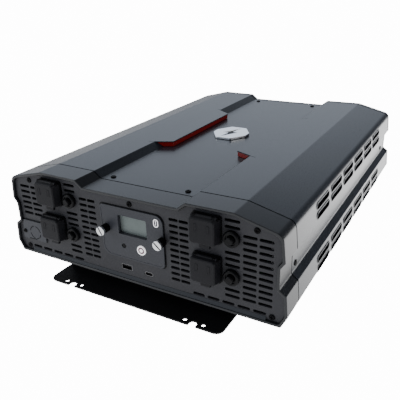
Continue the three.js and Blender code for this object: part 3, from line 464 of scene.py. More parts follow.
def two_tones(nodes, links, dark, light, factor, shader):
    tones = nodes.new("ShaderNodeMix")
    tones.data_type = "RGBA"
    tones.inputs["A"].default_value = (*dark, 1)
    tones.inputs["B"].default_value = (*light, 1)
    links.new(factor, tones.inputs["Factor"])
    links.new(tones.outputs["Result"], shader.inputs["Base Color"])
    return tones


def bumped(nodes, links, height, distance, strength, shader):
    bump = nodes.new("ShaderNodeBump")
    bump.inputs["Distance"].default_value = distance
    bump.inputs["Strength"].default_value = strength
    links.new(height, bump.inputs["Height"])
    links.new(bump.outputs["Normal"], shader.inputs["Normal"])


def finish_of(name, dark, light, rough, metallic=0.0, grain=900.0, depth=0.3, drift=14.0, spread=0.1,
              coat=0.0, coat_rough=0.1, specular=0.5, lit=0.0):
    """A finish whose colour drifts between two tones, with its own grain."""
    material, nodes, links, shader = new_finish(name)
    shader.inputs["Metallic"].default_value = metallic
    shader.inputs["Coat Weight"].default_value = coat
    shader.inputs["Coat Roughness"].default_value = coat_rough
    shader.inputs["Specular IOR Level"].default_value = specular
    surface = nodes.new("ShaderNodeGroup")
    surface.node_tree = SURFACE
    for key, value in (("Grain size", grain), ("Grain depth", depth), ("Drift size", drift),
                       ("Rough", rough), ("Rough spread", spread)):
        surface.inputs[key].default_value = value
    tones = two_tones(nodes, links, dark, light, surface.outputs["Tone"], shader)
    links.new(surface.outputs["Rough"], shader.inputs["Roughness"])
    bumped(nodes, links, surface.outputs["Height"], 0.0001, 0.6, shader)
    if lit:
        links.new(tones.outputs["Result"], shader.inputs["Emission Color"])
        shader.inputs["Emission Strength"].default_value = lit
    return material


def brushed(name, dark, light, rough, along=(1, 1, 1)):
    """A turned or brushed metal: the noise is stretched along one way."""
    material, nodes, links, shader = new_finish(name)
    shader.inputs["Metallic"].default_value = 1
    place = nodes.new("ShaderNodeTexCoord")
    stretch = nodes.new("ShaderNodeMapping")
    stretch.inputs["Scale"].default_value = along
    lines = nodes.new("ShaderNodeTexNoise")
    lines.inputs["Scale"].default_value = 900
    links.new(place.outputs["Object"], stretch.inputs["Vector"])
    links.new(stretch.outputs["Vector"], lines.inputs["Vector"])
    two_tones(nodes, links, dark, light, lines.outputs["Fac"], shader)
    roughs = nodes.new("ShaderNodeMapRange")
    roughs.inputs["To Min"].default_value = rough * 0.7
    roughs.inputs["To Max"].default_value = rough * 1.3
    links.new(lines.outputs["Fac"], roughs.inputs["Value"])
    links.new(roughs.outputs["Result"], shader.inputs["Roughness"])
    bumped(nodes, links, lines.outputs["Fac"], 0.00003, 0.5, shader)
    return material


COAT = finish_of("satin_powder_coat", (0.012, 0.0155, 0.022), (0.017, 0.021, 0.029), 0.29,
                 grain=1500, depth=0.25, spread=0.12, specular=0.5)
# A lighter copy of the satin powder coat: painted light, for the lit inner faces of the side slots.
LIT_COAT_COPY = finish_of("satin_coat_painted_lit", (0.03, 0.033, 0.04), (0.038, 0.041, 0.048), 0.34,
                grain=1500, depth=0.25, spread=0.12, specular=0.5)
BEZEL = finish_of("satin_bezel_plastic", (0.008, 0.0095, 0.0125), (0.012, 0.0135, 0.017), 0.3,
                  grain=1500, depth=0.3, spread=0.12, specular=0.45)
TEXTURED = finish_of("textured_panel_plastic", (0.032, 0.032, 0.037), (0.042, 0.042, 0.047), 0.5,
                     grain=1100, depth=0.9, spread=0.2, specular=0.25)
LID = finish_of("lid_plastic", (0.009, 0.009, 0.0115), (0.013, 0.013, 0.016), 0.45, grain=1600,
                depth=0.5, specular=0.16)
BLACK = finish_of("black_plastic", (0.004, 0.004, 0.005), (0.006, 0.006, 0.007), 0.4, depth=0.2,
                  specular=0.12)
PLATE = finish_of("display_plate_plastic", (0.034, 0.036, 0.045), (0.042, 0.044, 0.053), 0.45,
                  grain=1800, depth=0.35, specular=0.3)
SMOKED = finish_of("smoked_cap", (0.005, 0.005, 0.006), (0.008, 0.008, 0.009), 0.22, depth=0.05,
                   specular=0.12)
LCD = finish_of("display_liquid_crystal", (0.165, 0.195, 0.188), (0.205, 0.235, 0.228), 0.35,
                depth=0.02, drift=30, specular=0.2)
# Its emission is painted light: the white power key and the printed radio sign glow, though no lamp is in
# them.
WHITE = finish_of("white_plastic", (0.8, 0.79, 0.8), (0.9, 0.89, 0.9), 0.3, depth=0.05,
                  lit=0.9)
ROSE = finish_of("rose_grey_plastic", (0.17, 0.105, 0.125), (0.21, 0.13, 0.15), 0.35, depth=0.05)
# Its faint emission is painted light, for light shining through the red lens.
RED_LENS = finish_of("red_lens", (0.14, 0.0015, 0.001), (0.2, 0.003, 0.002), 0.15, depth=0.03,
                     coat=0.35, coat_rough=0.05, specular=0.3, lit=0.14)
RED = finish_of("red_plastic", (0.32, 0.012, 0.012), (0.38, 0.018, 0.018), 0.4, depth=0.2)
BLACK_STEEL = finish_of("black_coated_steel", (0.004, 0.004, 0.005), (0.007, 0.007, 0.008), 0.4,
                        depth=0.3, specular=0.3)
BLACK_SCREW = finish_of("black_oxide_steel", (0.002, 0.002, 0.0025), (0.004, 0.004, 0.005), 0.35,
                        depth=0.1, specular=0.06)
BOARD = finish_of("solder_mask", (0.015, 0.1, 0.04), (0.02, 0.13, 0.055), 0.4, drift=60, coat=0.4)
WINDING = finish_of("varnished_winding", (0.16, 0.07, 0.025), (0.26, 0.12, 0.05), 0.35, 0.4, drift=90)
SLEEVE = finish_of("shrink_sleeve", (0.02, 0.035, 0.12), (0.03, 0.05, 0.16), 0.25, drift=50)
NICKEL = brushed("nickel_plate", (0.72, 0.73, 0.75), (0.86, 0.87, 0.88), 0.25)
# A darkened copy of the plated steel: painted shade on the USB shells, which sit in shadow in their
# openings.
SHADED_PORT_STEEL = brushed("port_steel_with_painted_shade", (0.2, 0.2, 0.21), (0.3, 0.3, 0.31), 0.3)
CHROME = brushed("bright_chrome", (0.9, 0.93, 0.97), (0.97, 0.99, 1), 0.14)
ALUMINIUM = brushed("extruded_aluminium", (0.6, 0.61, 0.63), (0.72, 0.73, 0.75), 0.35, (1, 0.03, 1))
COPPER = brushed("bare_copper", (0.72, 0.36, 0.2), (0.82, 0.45, 0.27), 0.3, (0.05, 1, 1))


def dress(piece, material, slot_name, body="case", *nodes):
    """Gives a piece its finish, the body it rides on and the nodes that it stands for."""
    piece.data.materials.clear()
    piece.data.materials.append(material)
    if nodes:
        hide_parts(*nodes)
    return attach(piece, body)


# ------------------------------------------------------------------ casing
GROOVE_X = HALF - GROOVE_INSET
SIDE_VENT = {"length": 42, "height": 7, "pitch": 50.5, "start": 90, "count": 6}
SIDE_VENT_LEVELS = (85.7, 75.3, 26, 15.6)


def open_section(distance, above):
    """The part of the section above or below the seam between cover and pan."""
    points = section(distance)
    wall = GROOVE_X - distance
    if above:
        edge = SPLIT + SEAM / 2
        return [(wall, edge), *(p for p in points if p[1] > edge), (-wall, edge)]
    edge = SPLIT - SEAM / 2
    left = [p for p in points if p[1] < edge and p[0] < 0]
    right = [p for p in points if p[1] < edge and p[0] > 0]
    return [(-wall, edge), *left, *right, (wall, edge)]


def shell(name, above):
    """The body's skin between the end caps, above or below its seam."""
    ease = (CAP_SEAM - SEAM) / 2
    outer, inner = open_section(0, above), open_section(SHEET, above)
    return band(name, outer, inner, SEAM_FRONT + ease, SEAM_REAR - ease, False)


def side_slots(levels):
    tools = []
    model = slot((0, 0), SIDE_VENT["length"], SIDE_VENT["height"], GROOVE_X - 8, HALF + 3, "X")
    for height in levels:
        for i in range(SIDE_VENT["count"]):
            y = FRONT + SIDE_VENT["start"] + SIDE_VENT["length"] / 2 + i * SIDE_VENT["pitch"]
            tools.append(copy_of(model, "slot", (0, y, FLOOR + height)))
            tools.append(copy_of(model, "slot", (-HALF - GROOVE_X + 5, y, FLOOR + height)))
    bpy.data.objects.remove(model)
    return tools


def ledge_outline(side, back):
    """Corners of the plate that overhangs the channel, set back from its edge.

    A positive side is the right shoulder; its edge slopes out at both ends."""
    rise_front, rise_rear = 13 / (BUMP_TIP - BUMP_INNER), 21 / (BUMP_TIP - BUMP_INNER)
    outer, inner = LEDGE_HALF + 3, BUMP_INNER + back
    front = FRONT + 160 + back * math.hypot(1, rise_front)
    rear = REAR - 144 - back * math.hypot(1, rise_rear)
    run = outer - BUMP_INNER
    points = [
        (outer, front - run * rise_front), (outer, rear + run * rise_rear),
        (inner, rear + back * rise_rear), (inner, front - back * rise_front),
    ]
    return [(side * x, y) for x, y in (points if side > 0 else points[::-1])]


def tip_slit(side, y, rise):
    """The narrow slit that runs on into the shoulder from the end of a ledge."""
    ends = [(LEDGE_HALF - 1, y + rise), (BUMP_TIP, y)]
    width = -math.copysign(0.8, rise)
    points = [*ends, (BUMP_TIP, y + width), (LEDGE_HALF - 1, y + rise + width)]
    return prism("slit", [(side * x, b) for x, b in points], LEDGE - 0.8, LEDGE + 3, "Z")


def top_cover():
    cover = shell("top_cover_shell", True)
    for side in (-1, 1):
        corners = [(x, y, 0.6) for x, y in ledge_outline(side, 0)]
        add(cover, prism("ledge", rounded(corners), LEDGE - BUMP_SKIN, LEDGE, "Z"))
        share = (BUMP_TIP - LEDGE_HALF) / (BUMP_TIP - BUMP_INNER)
        cut(cover, tip_slit(side, FRONT + 147, 13 * share), tip_slit(side, REAR - 123, -21 * share))
    cut(cover, *side_slots([h for h in SIDE_VENT_LEVELS if FLOOR + h > SPLIT]))
    soften(cover, 0.35)
    return dress(cover, COAT, "coated_metal", "case", "top_cover")


def base_pan():
    pan = shell("base_pan_shell", False)
    cut(pan, *side_slots([h for h in SIDE_VENT_LEVELS if FLOOR + h < SPLIT]))
    soften(pan, 0.35)
    return dress(pan, COAT, "coated_metal", "case", "base_pan")


def end_cap(name, node, outer, seam):
    """A bezel ring with the body's section; only its outer rim is rounded."""
    low, high = sorted((outer, seam))
    ring = band(name, section(0), section(CAP_WALL), low, high)
    choose(ring, lambda at, normal: abs(at.y - outer) < 0.1)
    bpy.ops.mesh.region_to_loop()
    bpy.ops.mesh.bevel(offset=0.9 * MM, segments=3, affect="EDGES")
    leave()
    if outer < 0:
        lip = [(outer + 1, FLOOR + 2.5), (FACE - SEAM, FLOOR + 2.5), (FACE - SEAM, FLOOR + 6.4)]
        add(ring, prism("lip", lip, -LIP_HALF, LIP_HALF, "X"))
    soften(ring, 0)
    return dress(ring, BEZEL, "cap_plastic", "case", node)


def seam_shade_strip(name, seam, way):
    """A black strip at the bottom of the gap between a cap and the skin: painted shade that darkens the
    seam.
    """
    low, high = sorted((seam + way * 0.35, seam - way * (SEAM + 0.35)))
    liner = band(name, section(1.3), section(SHEET - 0.1), low, high)
    return dress(soften(liner, 0), BLACK, "black_plastic")


def wall_x(height):
    """How far out the side wall is at a height above the floor."""
    for (inset, low, _), (next_inset, high, _) in zip(SECTION, SECTION[1:]):
        if low <= height <= high:
            return HALF - inset + (inset - next_inset) * (height - low) / (high - low)
    return HALF


def vent_collars(name, levels):
    """Rolled rims round the side slots, one model copied to every slot; their lighter copy of the coat is
    painted light on the slots' inner faces.
    """
    length, height, lip = SIDE_VENT["length"], SIDE_VENT["height"], 2.4
    model = slot((0, 0), length + lip, height + lip, -6, 0.5, "X")
    soften(cut(model, slot((0, 0), length, height, -7, 2, "X")), 0.4)
    half_turn = Matrix.Rotation(math.pi, 4, "Z")
    rims = []
    for level in levels:
        reach = min(wall_x(level), HALF - 0.6)
        for i in range(SIDE_VENT["count"]):
            y = FRONT + SIDE_VENT["start"] + length / 2 + i * SIDE_VENT["pitch"]
            rims.append(copy_of(model, "rim", (reach, y, FLOOR + level)))
            rims.append(copy_of(model, "rim", (-reach, y, FLOOR + level), half_turn))
    bpy.data.objects.remove(model)
    return dress(joined(rims, name), LIT_COAT_COPY, "coated_metal")


def shade_sheet(side, name):
    """A black sheet hung behind the side slots of one wall: painted shade that keeps the slots dark."""
    edges = sorted((side * 151, side * 152))
    screen = block(name, (edges[0], FRONT + 84, FLOOR + 8), (edges[1], REAR - 50, FLOOR + 93))
    return dress(soften(screen, 0.3), BLACK, "black_plastic")


def trim(side, name):
    """The red strip under a shoulder's ledge."""
    strip = prism(name, ledge_outline(side, 0.4), CHANNEL + SEAM, LEDGE - BUMP_SKIN - 0.2, "Z")
    inner = [(x + side * 8 if abs(x) > LEDGE_HALF else x, y) for x, y in ledge_outline(side, 2.8)]
    cut(strip, prism("hollow", inner, CHANNEL - 2, LEDGE + 2, "Z"))
    slope = (LEDGE_HALF - CHANNEL_HALF) / (CHANNEL_DROP - LEDGE_DROP)
    foot, head = CHANNEL - 1, LEDGE + 1
    step = [(CHANNEL_HALF + slope * (z - CHANNEL) - 0.5, z) for z in (foot, head)]
    points = [*step, (LEDGE_HALF + 20, head), (LEDGE_HALF + 20, foot)]
    cut(strip, prism("step", [(side * x, z) for x, z in points], FRONT, REAR))
    soften(strip, 0.5, 3)
    return dress(strip, RED_LENS, "red_lens", "case", name.replace("_lens", ""))


def badge():
    """A generic eight-sided plaque with a lightning bolt sunk into it."""
    low, high, centre = span_of("badge")
    w, h = (high.x - low.x) / 2, (high.y - low.y) / 2
    quarter = [(w, -h * 0.23), (w, h * 0.23), (w * 0.46, h), (-w * 0.46, h)]
    corners = quarter + [(-x, -y) for x, y in quarter]
    outline = rounded([(centre.x + x, centre.y + y, 4) for x, y in corners])
    plate = prism("badge_plate", outline, low.z, high.z, "Z")
    half = [(4, 20), (-10, -3), (-2, -3)]
    bolt = half + [(-x - 1, -y) for x, y in half]
    cut(plate, prism("bolt", [(centre.x + x, centre.y + y) for x, y in bolt], high.z - 1.1, high.z + 1, "Z"))
    soften(plate, 0.5, 3)
    inlay = [(centre.x + x, centre.y + y, 0) for x, y in bolt]
    fill = prism("badge_inlay", rounded(offset(inlay, 0.15)), high.z - 1, high.z - 0.5, "Z")
    dress(soften(fill, 0.1, 1), BLACK, "black_plastic")
    return dress(plate, CHROME, "chrome", "case", "badge")


# ------------------------------------------------------------------ screws
def screw_model(radius):
    """A black pan-head screw with a cross recess, its head towards +Z, from the origin up."""
    head = drum("screw", (0, 0), radius, -0.6, radius * 0.42, "Z", sides=28)
    round_rim(head, UPWARD, radius * 0.3)
    arm, wide = radius * 0.55, radius * 0.13
    cross = block("cross", (-arm, -wide, radius * 0.1), (arm, wide, radius))
    add(cross, block("cross_arm", (-wide, -arm, radius * 0.1), (wide, arm, radius)))
    cut(head, cross)
    return soften(head, 0)


def casing_screws():
    small = screw_model(CASING_SCREW)
    face = FACE + 0.1
    half, shoulder = HALF - 15.9, HALF - RIDGE + 21.4
    front = Matrix.Rotation(math.pi / 2, 4, "X")
    rear = Matrix.Rotation(-math.pi / 2, 4, "X")
    places = [(-half, 7.6), (half, 7.6), (-shoulder, TALL - 13.8), (shoulder, TALL - 13.8),
              (0, TALL - CHANNEL_DROP - 8.4)]
    screws = []
    for i, (x, height) in enumerate(places):
        screws.append(copy_of(small, f"face_screw_{i + 1}", (x, face, FLOOR + height), front))
        screws.append(copy_of(small, f"back_screw_{i + 1}", (x, BACK - 0.1, FLOOR + height), rear))
    for side, way in ((-1, "left"), (1, "right")):
        turn = Matrix.Rotation(side * math.pi / 2, 4, "Y")
        for y, end in ((FRONT + 41, "front"), (REAR - 32, "rear")):
            at = (side * (GROOVE_X - 0.1), y, FLOOR + 48)
            screws.append(copy_of(small, f"groove_screw_{way}_{end}", at, turn))
        for y, end in ((FRONT + 40, "front"), (REAR - 21, "rear")):
            screws.append(copy_of(small, f"channel_screw_{way}_{end}", (side * 47.5, y, CHANNEL)))
    bpy.data.objects.remove(small)
    for screw in screws:
        dress(screw, BLACK_SCREW, "black_steel")


# ------------------------------------------------------------------ front panel
OUTLET_X = {"left": middle("outlet_left_upper").x, "right": middle("outlet_right_upper").x}
BREAKER_X = {"left": middle("breaker_left_upper").x, "right": middle("breaker_right_upper").x}
OUTLET_LEVEL = {"upper": FLOOR + 86.1, "lower": FLOOR + 44.2}
BREAKER_LEVEL = {"upper": FLOOR + 80.5, "lower": FLOOR + 39.7}
PLACES = [(side, row) for side in ("left", "right") for row in ("upper", "lower")]
DISPLAY_LOW, DISPLAY_HIGH = box_of("display_housing")
WINDOW = middle("display_window")
COVER_LOW, COVER_HIGH = box_of("wiring_cover")
VENT_HEIGHT = 3.3
VENT_PITCH = 6.69
VENT_FIRST = 18.3
VENT_ROWS = 11
THROUGH_FACE = (FACE - 1, FACE + 4)


def vent_tools():
    """Cutters for every slot in the face, one model for each length."""
    places = []
    for row in range(VENT_ROWS):
        height = VENT_FIRST + row * VENT_PITCH
        for start in (46.5, -67.3):
            places += [(start + 5, height, 10.6), (start + 16.4, height, 10.6)]
        for x in (HALF - 4.2 - 26.1, HALF - 4.2 - 42.1):
            places.append((x + 7.1, height, 14.2))
            if height > COVER_HIGH.z - FLOOR + VENT_HEIGHT:
                places.append((-x - 7.1, height, 14.2))
    for x in BREAKER_X.values():
        for row in range(-1, VENT_ROWS + 2):
            height = VENT_FIRST + row * VENT_PITCH - 0.6
            clear = all(abs(level - FLOOR - height) > 9.3 for level in BREAKER_LEVEL.values())
            if clear and height > 12:
                places.append((x, height, 15.9))
    for i in range(5):
        x = 71.3 + 6.65 + i * 16.3
        places += [(x, 8.7, 13.3), (-x, 8.7, 13.3)]
    models, tools = {}, []
    for x, height, length in places:
        if length not in models:
            models[length] = slot((0, 0), length, VENT_HEIGHT, *THROUGH_FACE)
        tools.append(copy_of(models[length], "vent", (x, 0, FLOOR + height)))
    for model in models.values():
        bpy.data.objects.remove(model)
    return tools


def front_panel():
    low, high = box_of("front_panel")
    panel = prism("front_panel_plate", section(CAP_WALL + SEAM), low.y, high.y)
    tools = vent_tools()
    for side, row in PLACES:
        opening = rounded_box(OUTLET_X[side], OUTLET_LEVEL[row], *OUTLET_OPENING)
        tools.append(prism("opening", opening, *THROUGH_FACE))
        tools.append(drum("hole", (BREAKER_X[side], BREAKER_LEVEL[row]), BARREL_RADIUS + 0.4, *THROUGH_FACE))
    tray = rounded_box(TRAY_X, FLOOR + 56.95, TRAY_SIZE[0] + 0.8, TRAY_SIZE[1] + 0.8, 2)
    tools.append(prism("opening", tray, *THROUGH_FACE))
    for node in ("thumbscrew_left", "thumbscrew_right"):
        at = middle(node)
        tools.append(drum("hole", (at.x, at.z), 2.5, *THROUGH_FACE))
    for node, radius in (("usb_a_port", 0.6), ("usb_c_port", 2.3)):
        a, b, at = span_of(node)
        shape = rounded_box(at.x, at.z, b.x - a.x + 0.5, b.z - a.z + 0.5, radius)
        tools.append(prism("opening", shape, *THROUGH_FACE))
    low, high = COVER_LOW, COVER_HIGH
    pocket = [(low.x - 0.7, low.z - 0.7, 3), (high.x + 0.7, low.z - 0.7, 2),
              (high.x + 0.7, high.z + 0.7, 2), (low.x + 2.8, high.z + 0.7, 2)]
    tools.append(prism("pocket", rounded(pocket), FACE - 1, FACE + 0.9))
    cut(panel, *tools)
    soften(panel, 0.3, 2)
    return dress(panel, TEXTURED, "cap_plastic", "case", "front_panel")


# ------------------------------------------------------------------ outlets and breakers
def hinge_pin(side, row):
    """Where a lid's hinge pin runs, in Y and Z."""
    joint = next(j for j in frame["joints"] if j["name"] == f"lid_hinge_{side}_{row}")
    return joint["pos_m"][1] / MM, joint["pos_m"][2] / MM


def outlet(side, row):
    """A receptacle with its slots and the two ears that carry the lid's pin."""
    name = f"outlet_{side}_{row}"
    high = box_of(name)[1]
    x, z = OUTLET_X[side], OUTLET_LEVEL[row]
    flange = FACE - SEAM - 2
    body = prism(f"{name}_body", rounded_box(x, z, *OUTLET_FLANGE), flange, FACE - SEAM)
    add(body, prism("core", rounded_box(x, z, *OUTLET_CORE), FACE - SEAM - 0.5, high.y))
    pin_y, pin_z = hinge_pin(side, row)
    for way in (-1, 1):
        ear = sorted((x + way * 8.8, x + way * 11.2))
        post = block("ear", (ear[0], pin_y, pin_z - 1.9), (ear[1], flange + 0.5, pin_z + 1.9))
        add(post, drum("round", (pin_y, pin_z), 1.9, ear[0], ear[1], "X", 24))
        add(body, post)
    add(body, drum("pin", (pin_y, pin_z), HINGE_PIN, x - 14, x + 14, "X", 20))
    slots = []
    for way in (-1, 1):
        reach = x + way * BLADE_SPREAD
        slots.append(block("blade", (reach - 0.9, flange - 1, z - 1), (reach + 0.9, flange + 9, z + 6.5)))
    slots.append(drum("ground", (x, z - 7), 2.4, flange - 1, flange + 9, sides=24))
    cut(body, *slots)
    soften(body, 0.25)
    return dress(body, BLACK, "black_plastic", "case", name)


def lid_marks(x, z, y):
    """Raised outlines of the two blades and the ground pin."""
    marks = []
    for way in (-1, 1):
        outer = rounded_box(x + way * 6.6, z + 3.4, 3.6, 8.4, 0.9)
        inner = rounded_box(x + way * 6.6, z + 3.4, 2.2, 7, 0.5)
        shape = prism("mark", outer, y - 0.3, y + 0.5)
        marks.append(cut(shape, prism("inner", inner, y - 2, y - 0.1)))
    ground = [(x - 2.8, z - 8.2, 1), (x + 2.8, z - 8.2, 1), (x + 2.8, z - 4.4, 2.6),
              (x - 2.8, z - 4.4, 2.6)]
    shape = prism("mark", rounded(ground), y - 0.3, y + 0.5)
    marks.append(cut(shape, prism("inner", rounded(offset(ground, 0.7)), y - 2, y - 0.1)))
    return marks


def lid(side, row):
    """An outlet's flip-up lid, with its knuckle, tab and raised marks."""
    name = f"outlet_lid_{side}_{row}"
    low, high = box_of(name)
    x, z = OUTLET_X[side], OUTLET_LEVEL[row]
    pin_y, pin_z = hinge_pin(side, row)
    top = z + 14.75
    cap = prism(f"{name}_cap", rounded_box(x, z, *LID_SIZE, 10), low.y, high.y)
    choose(cap, lambda at, normal: normal.y < -0.9)
    centre = Vector((x, low.y, z)) * MM
    bpy.ops.transform.resize(value=LID_PUT_IN, center_override=centre)
    bpy.ops.mesh.bevel(offset=1.3 * MM, segments=4, affect="EDGES")
    leave()
    corner = [(pin_y, pin_z), (high.y + 1, pin_z - 1), (high.y + 1, top + 3), (pin_y, top + 3)]
    cut(cap, prism("corner", corner, x - 31, x + 31, "X"))
    add(cap, drum("knuckle", (pin_y, pin_z), 2.2, x - 13, x + 13, "X", 32))
    add(cap, block("tab", (x - 5.2, high.y - 3.9, z - 19.5), (x + 5.2, high.y - 0.7, z - 12.7)))
    notches = []
    for way in (-1, 1):
        foot = (x + way * 10 - 1.6, pin_y - 2.6, pin_z - 2.6)
        notches.append(block("notch", foot, (x + way * 10 + 1.6, high.y + 1, top + 3)))
    cut(cap, *notches)
    cut(cap, drum("bore", (pin_y, pin_z), 1.3, x - 31, x + 31, "X", 24))
    soften(cap, 0.35)
    marks = [soften(mark, 0.1, 1) for mark in lid_marks(x, z, low.y)]
    cap = joined([cap, *marks], cap.name)
    return dress(cap, LID, "black_plastic", f"lid_{side}_{row}", name)


def breaker(side, row):
    """A push-to-reset breaker: its nut and box, and its button."""
    name = f"breaker_{side}_{row}"
    low, high = box_of(name)
    x, z = BREAKER_X[side], BREAKER_LEVEL[row]
    nut = drum(f"{name}_body", (x, z), NUT_RADIUS, low.y, FACE - SEAM, sides=48)
    round_rim(nut, FORWARD, 1.6, 4)
    add(nut, drum("barrel", (x, z), BARREL_RADIUS, FACE - SEAM - 1, FACE + 12))
    add(nut, block("box", (x - 7, FACE + 4.5, z - 14), (x + 7, high.y, z + 14)))
    cut(nut, drum("bore", (x, z), 5.6, low.y - 1, low.y + 1.6))
    cut(nut, drum("bore", (x, z), BUTTON_RADIUS + 0.3, low.y - 1, FACE + 10))
    soften(nut, 0.25)
    dress(nut, SMOKED, "black_plastic", "case", name)
    push = f"breaker_button_{side}_{row}"
    low, high = box_of(push)
    button = drum(f"{push}_cap", (x, z), BUTTON_RADIUS, low.y, high.y, sides=40)
    round_rim(button, FORWARD, 1.5, 5)
    dish(button, FORWARD, 0.9, 0.35)
    soften(button, 0)
    return dress(button, SMOKED, "clear_cap", f"reset_{side}_{row}", push)


# ------------------------------------------------------------------ display remote
def display():
    """The pull-out remote: plate, tray, painted shadow ring, window, power button, lens and radio sign."""
    low, high = DISPLAY_LOW, DISPLAY_HIGH
    plate_front, plate_back = low.y, FACE - SEAM
    z = (low.z + high.z) / 2
    corners = [(low.x, low.z, 9), (high.x, low.z, 5), (high.x, high.z, 9), (low.x, high.z, 4)]
    housing = prism("display_plate", rounded(corners), plate_front, plate_back)
    surround = rounded_box(WINDOW.x, WINDOW.z, *WINDOW_SURROUND)
    add(housing, prism("frame", surround, plate_back - 0.4, WINDOW.y - 1.3))
    tray = prism("tray", rounded_box(TRAY_X, z, *TRAY_SIZE, 2), plate_back - 0.4, high.y)
    hollow = [size - 2 * TRAY_WALL for size in TRAY_SIZE]
    cut(tray, prism("hollow", rounded_box(TRAY_X, z, *hollow, 1), plate_back + 0.2, high.y + 1))
    add(housing, tray)
    cut(housing, prism("field", rounded(offset(corners, 1.5)), plate_front - 1, plate_front + 0.3))
    # Painted shadow: a thin black ring round the plate stands for the shade in the gap between plate and
    # face.
    shadow_ring = prism("display_shadow_ring", rounded(offset(corners, -1.1)), FACE - 0.25, FACE - 0.02)
    cut(shadow_ring, prism("hollow", rounded(offset(corners, 1.2)), FACE - 1, FACE + 1))
    dress(soften(shadow_ring, 0), BLACK, "black_plastic", "display_remote")
    power, lens = middle("power_button"), middle("status_lens")
    opening = rounded_box(WINDOW.x, WINDOW.z, *WINDOW_OPENING)
    tools = [prism("opening", opening, plate_front - 1, WINDOW.y)]
    tools.append(drum("hole", (power.x, power.z), POWER_RADIUS + 0.3, plate_front - 1, plate_back + 4))
    tools.append(drum("hole", (lens.x, lens.z), LENS_RADIUS + 0.3, plate_front - 1, plate_back + 4))
    for node in ("thumbscrew_left", "thumbscrew_right"):
        at = middle(node)
        tools.append(drum("hole", (at.x, at.z), 2.4, plate_front - 1, plate_back + 0.1))
    cut(housing, *tools)
    soften(housing, 0.3)
    dress(housing, PLATE, "grey_plastic", "display_remote", "display_housing")

    low, high = box_of("display_window")
    pane = rounded_box(WINDOW.x, WINDOW.z, high.x - low.x, high.z - low.z, 1)
    glass = prism("display_glass", pane, low.y, high.y)
    soften(glass, 0.2, 1)
    dress(glass, LCD, "pale_glass", "display_remote", "display_window")

    ring = drum("power_ring", (power.x, power.z), POWER_RADIUS, plate_front - 0.7, plate_back + 3)
    recess(ring, FORWARD, 1.3, 0.5)
    soften(ring, 0.25, 3)
    dress(ring, WHITE, "white_plastic", "power_key", "power_button")
    heart = drum("power_heart", (power.x, power.z), 3.75, plate_front - 0.5, plate_front - 0.15)
    recess(heart, FORWARD, 0.5, 0.15)
    soften(heart, 0)
    dress(heart, ROSE, "white_plastic", "power_key")
    core = drum("power_core", (power.x, power.z), 2, plate_front - 0.62, plate_front - 0.3)
    round_rim(core, FORWARD, 0.15, 2)
    dress(soften(core, 0), WHITE, "white_plastic", "power_key")

    eye = drum("status_eye", (lens.x, lens.z), LENS_RADIUS, plate_front + 0.5, plate_back + 2, sides=32)
    round_rim(eye, FORWARD, 0.9, 4)
    soften(eye, 0)
    dress(eye, BLACK, "black_plastic", "display_remote", "status_lens")

    radio_mark(32, FLOOR + 77.9, plate_front + 0.3)


def radio_mark(x, z, y):
    """A generic radio sign: a pill-shaped ring round a mast and a dot."""
    ring = prism("radio_mark", rounded_box(x, z, 5.8, 8.8, 2.8, 12), y - 0.14, y + 0.1)
    cut(ring, prism("inner", rounded_box(x, z, 4, 7, 1.9, 12), y - 1, y + 1))
    mast = prism("mast", rounded_box(x, z - 0.7, 0.7, 3, 0.2, 45), y - 0.14, y + 0.1)
    dot = drum("dot", (x, z + 1.8), 0.7, y - 0.14, y + 0.1, sides=20)
    mark = joined([ring, mast, dot], "radio_mark")
    soften(mark, 0)
    return dress(mark, WHITE, "white_plastic", "display_remote")


SLOT_TURN = {"left": 62, "right": 42}


def thumbscrew(side):
    node = f"thumbscrew_{side}"
    low, high, at = span_of(node)
    plate_front = DISPLAY_LOW.y
    head = drum(f"{node}_head", (at.x, at.z), THUMB_RADIUS, low.y, low.y + 2.8)
    choose(head, lambda at, normal: abs(normal.y) > 0.9)
    bpy.ops.mesh.bevel(offset=0.45 * MM, segments=3, affect="EDGES")
    leave()
    add(head, drum("shank", (at.x, at.z), THUMB_SHANK, low.y + 2, high.y, sides=24))
    cut(head, block("slot", (at.x - 6, low.y - 1, at.z - 0.8), (at.x + 6, low.y + 2, at.z + 0.8)))
    shade = block(f"{node}_slot_shade", (at.x - 4.4, low.y + 1.9, at.z - 0.75),
                  (at.x + 4.4, low.y + 2.05, at.z + 0.75))
    for piece in (head, shade):
        piece.data.transform(turn_about(at, math.radians(SLOT_TURN[side])))
    dress(soften(shade, 0.05, 1), BLACK, "black_plastic", f"thumb_{side}")
    soften(head, 0.12)
    dress(head, NICKEL, "bright_steel", f"thumb_{side}", node)
    collar = prism(f"{node}_collar", ring_points(at.x, at.z, 4.7, 96, 4.35), low.y + 2.9, plate_front - SEAM)
    cut(collar, drum("bore", (at.x, at.z), 2.15, low.y, plate_front + 1, sides=24))
    soften(collar, 0)
    return dress(collar, BLACK, "black_plastic", f"thumb_{side}")


# ------------------------------------------------------------------ ports and wiring cover
def usb_port(node, radius, tongue):
    low, high, at = span_of(node)
    w, h = high.x - low.x, high.z - low.z
    can = prism(f"{node}_can", rounded_box(at.x, at.z, w, h, radius), low.y, high.y)
    inner = rounded_box(at.x, at.z, w - 1, h - 1, max(radius - 0.5, 0.3))
    cut(can, prism("hollow", inner, low.y - 1, high.y - 2))
    soften(can, 0.15)
    # Painted shade: the shell takes the darkened copy of the plated steel.
    dress(can, SHADED_PORT_STEEL, "bright_steel", "case", node)
    length, tall, lift = tongue
    tab = block(f"{node}_tongue", (at.x - length / 2, low.y + 1, at.z + lift - tall / 2),
                (at.x + length / 2, high.y - 2.2, at.z + lift + tall / 2))
    soften(tab, 0.2)
    return dress(tab, BLACK, "black_plastic")


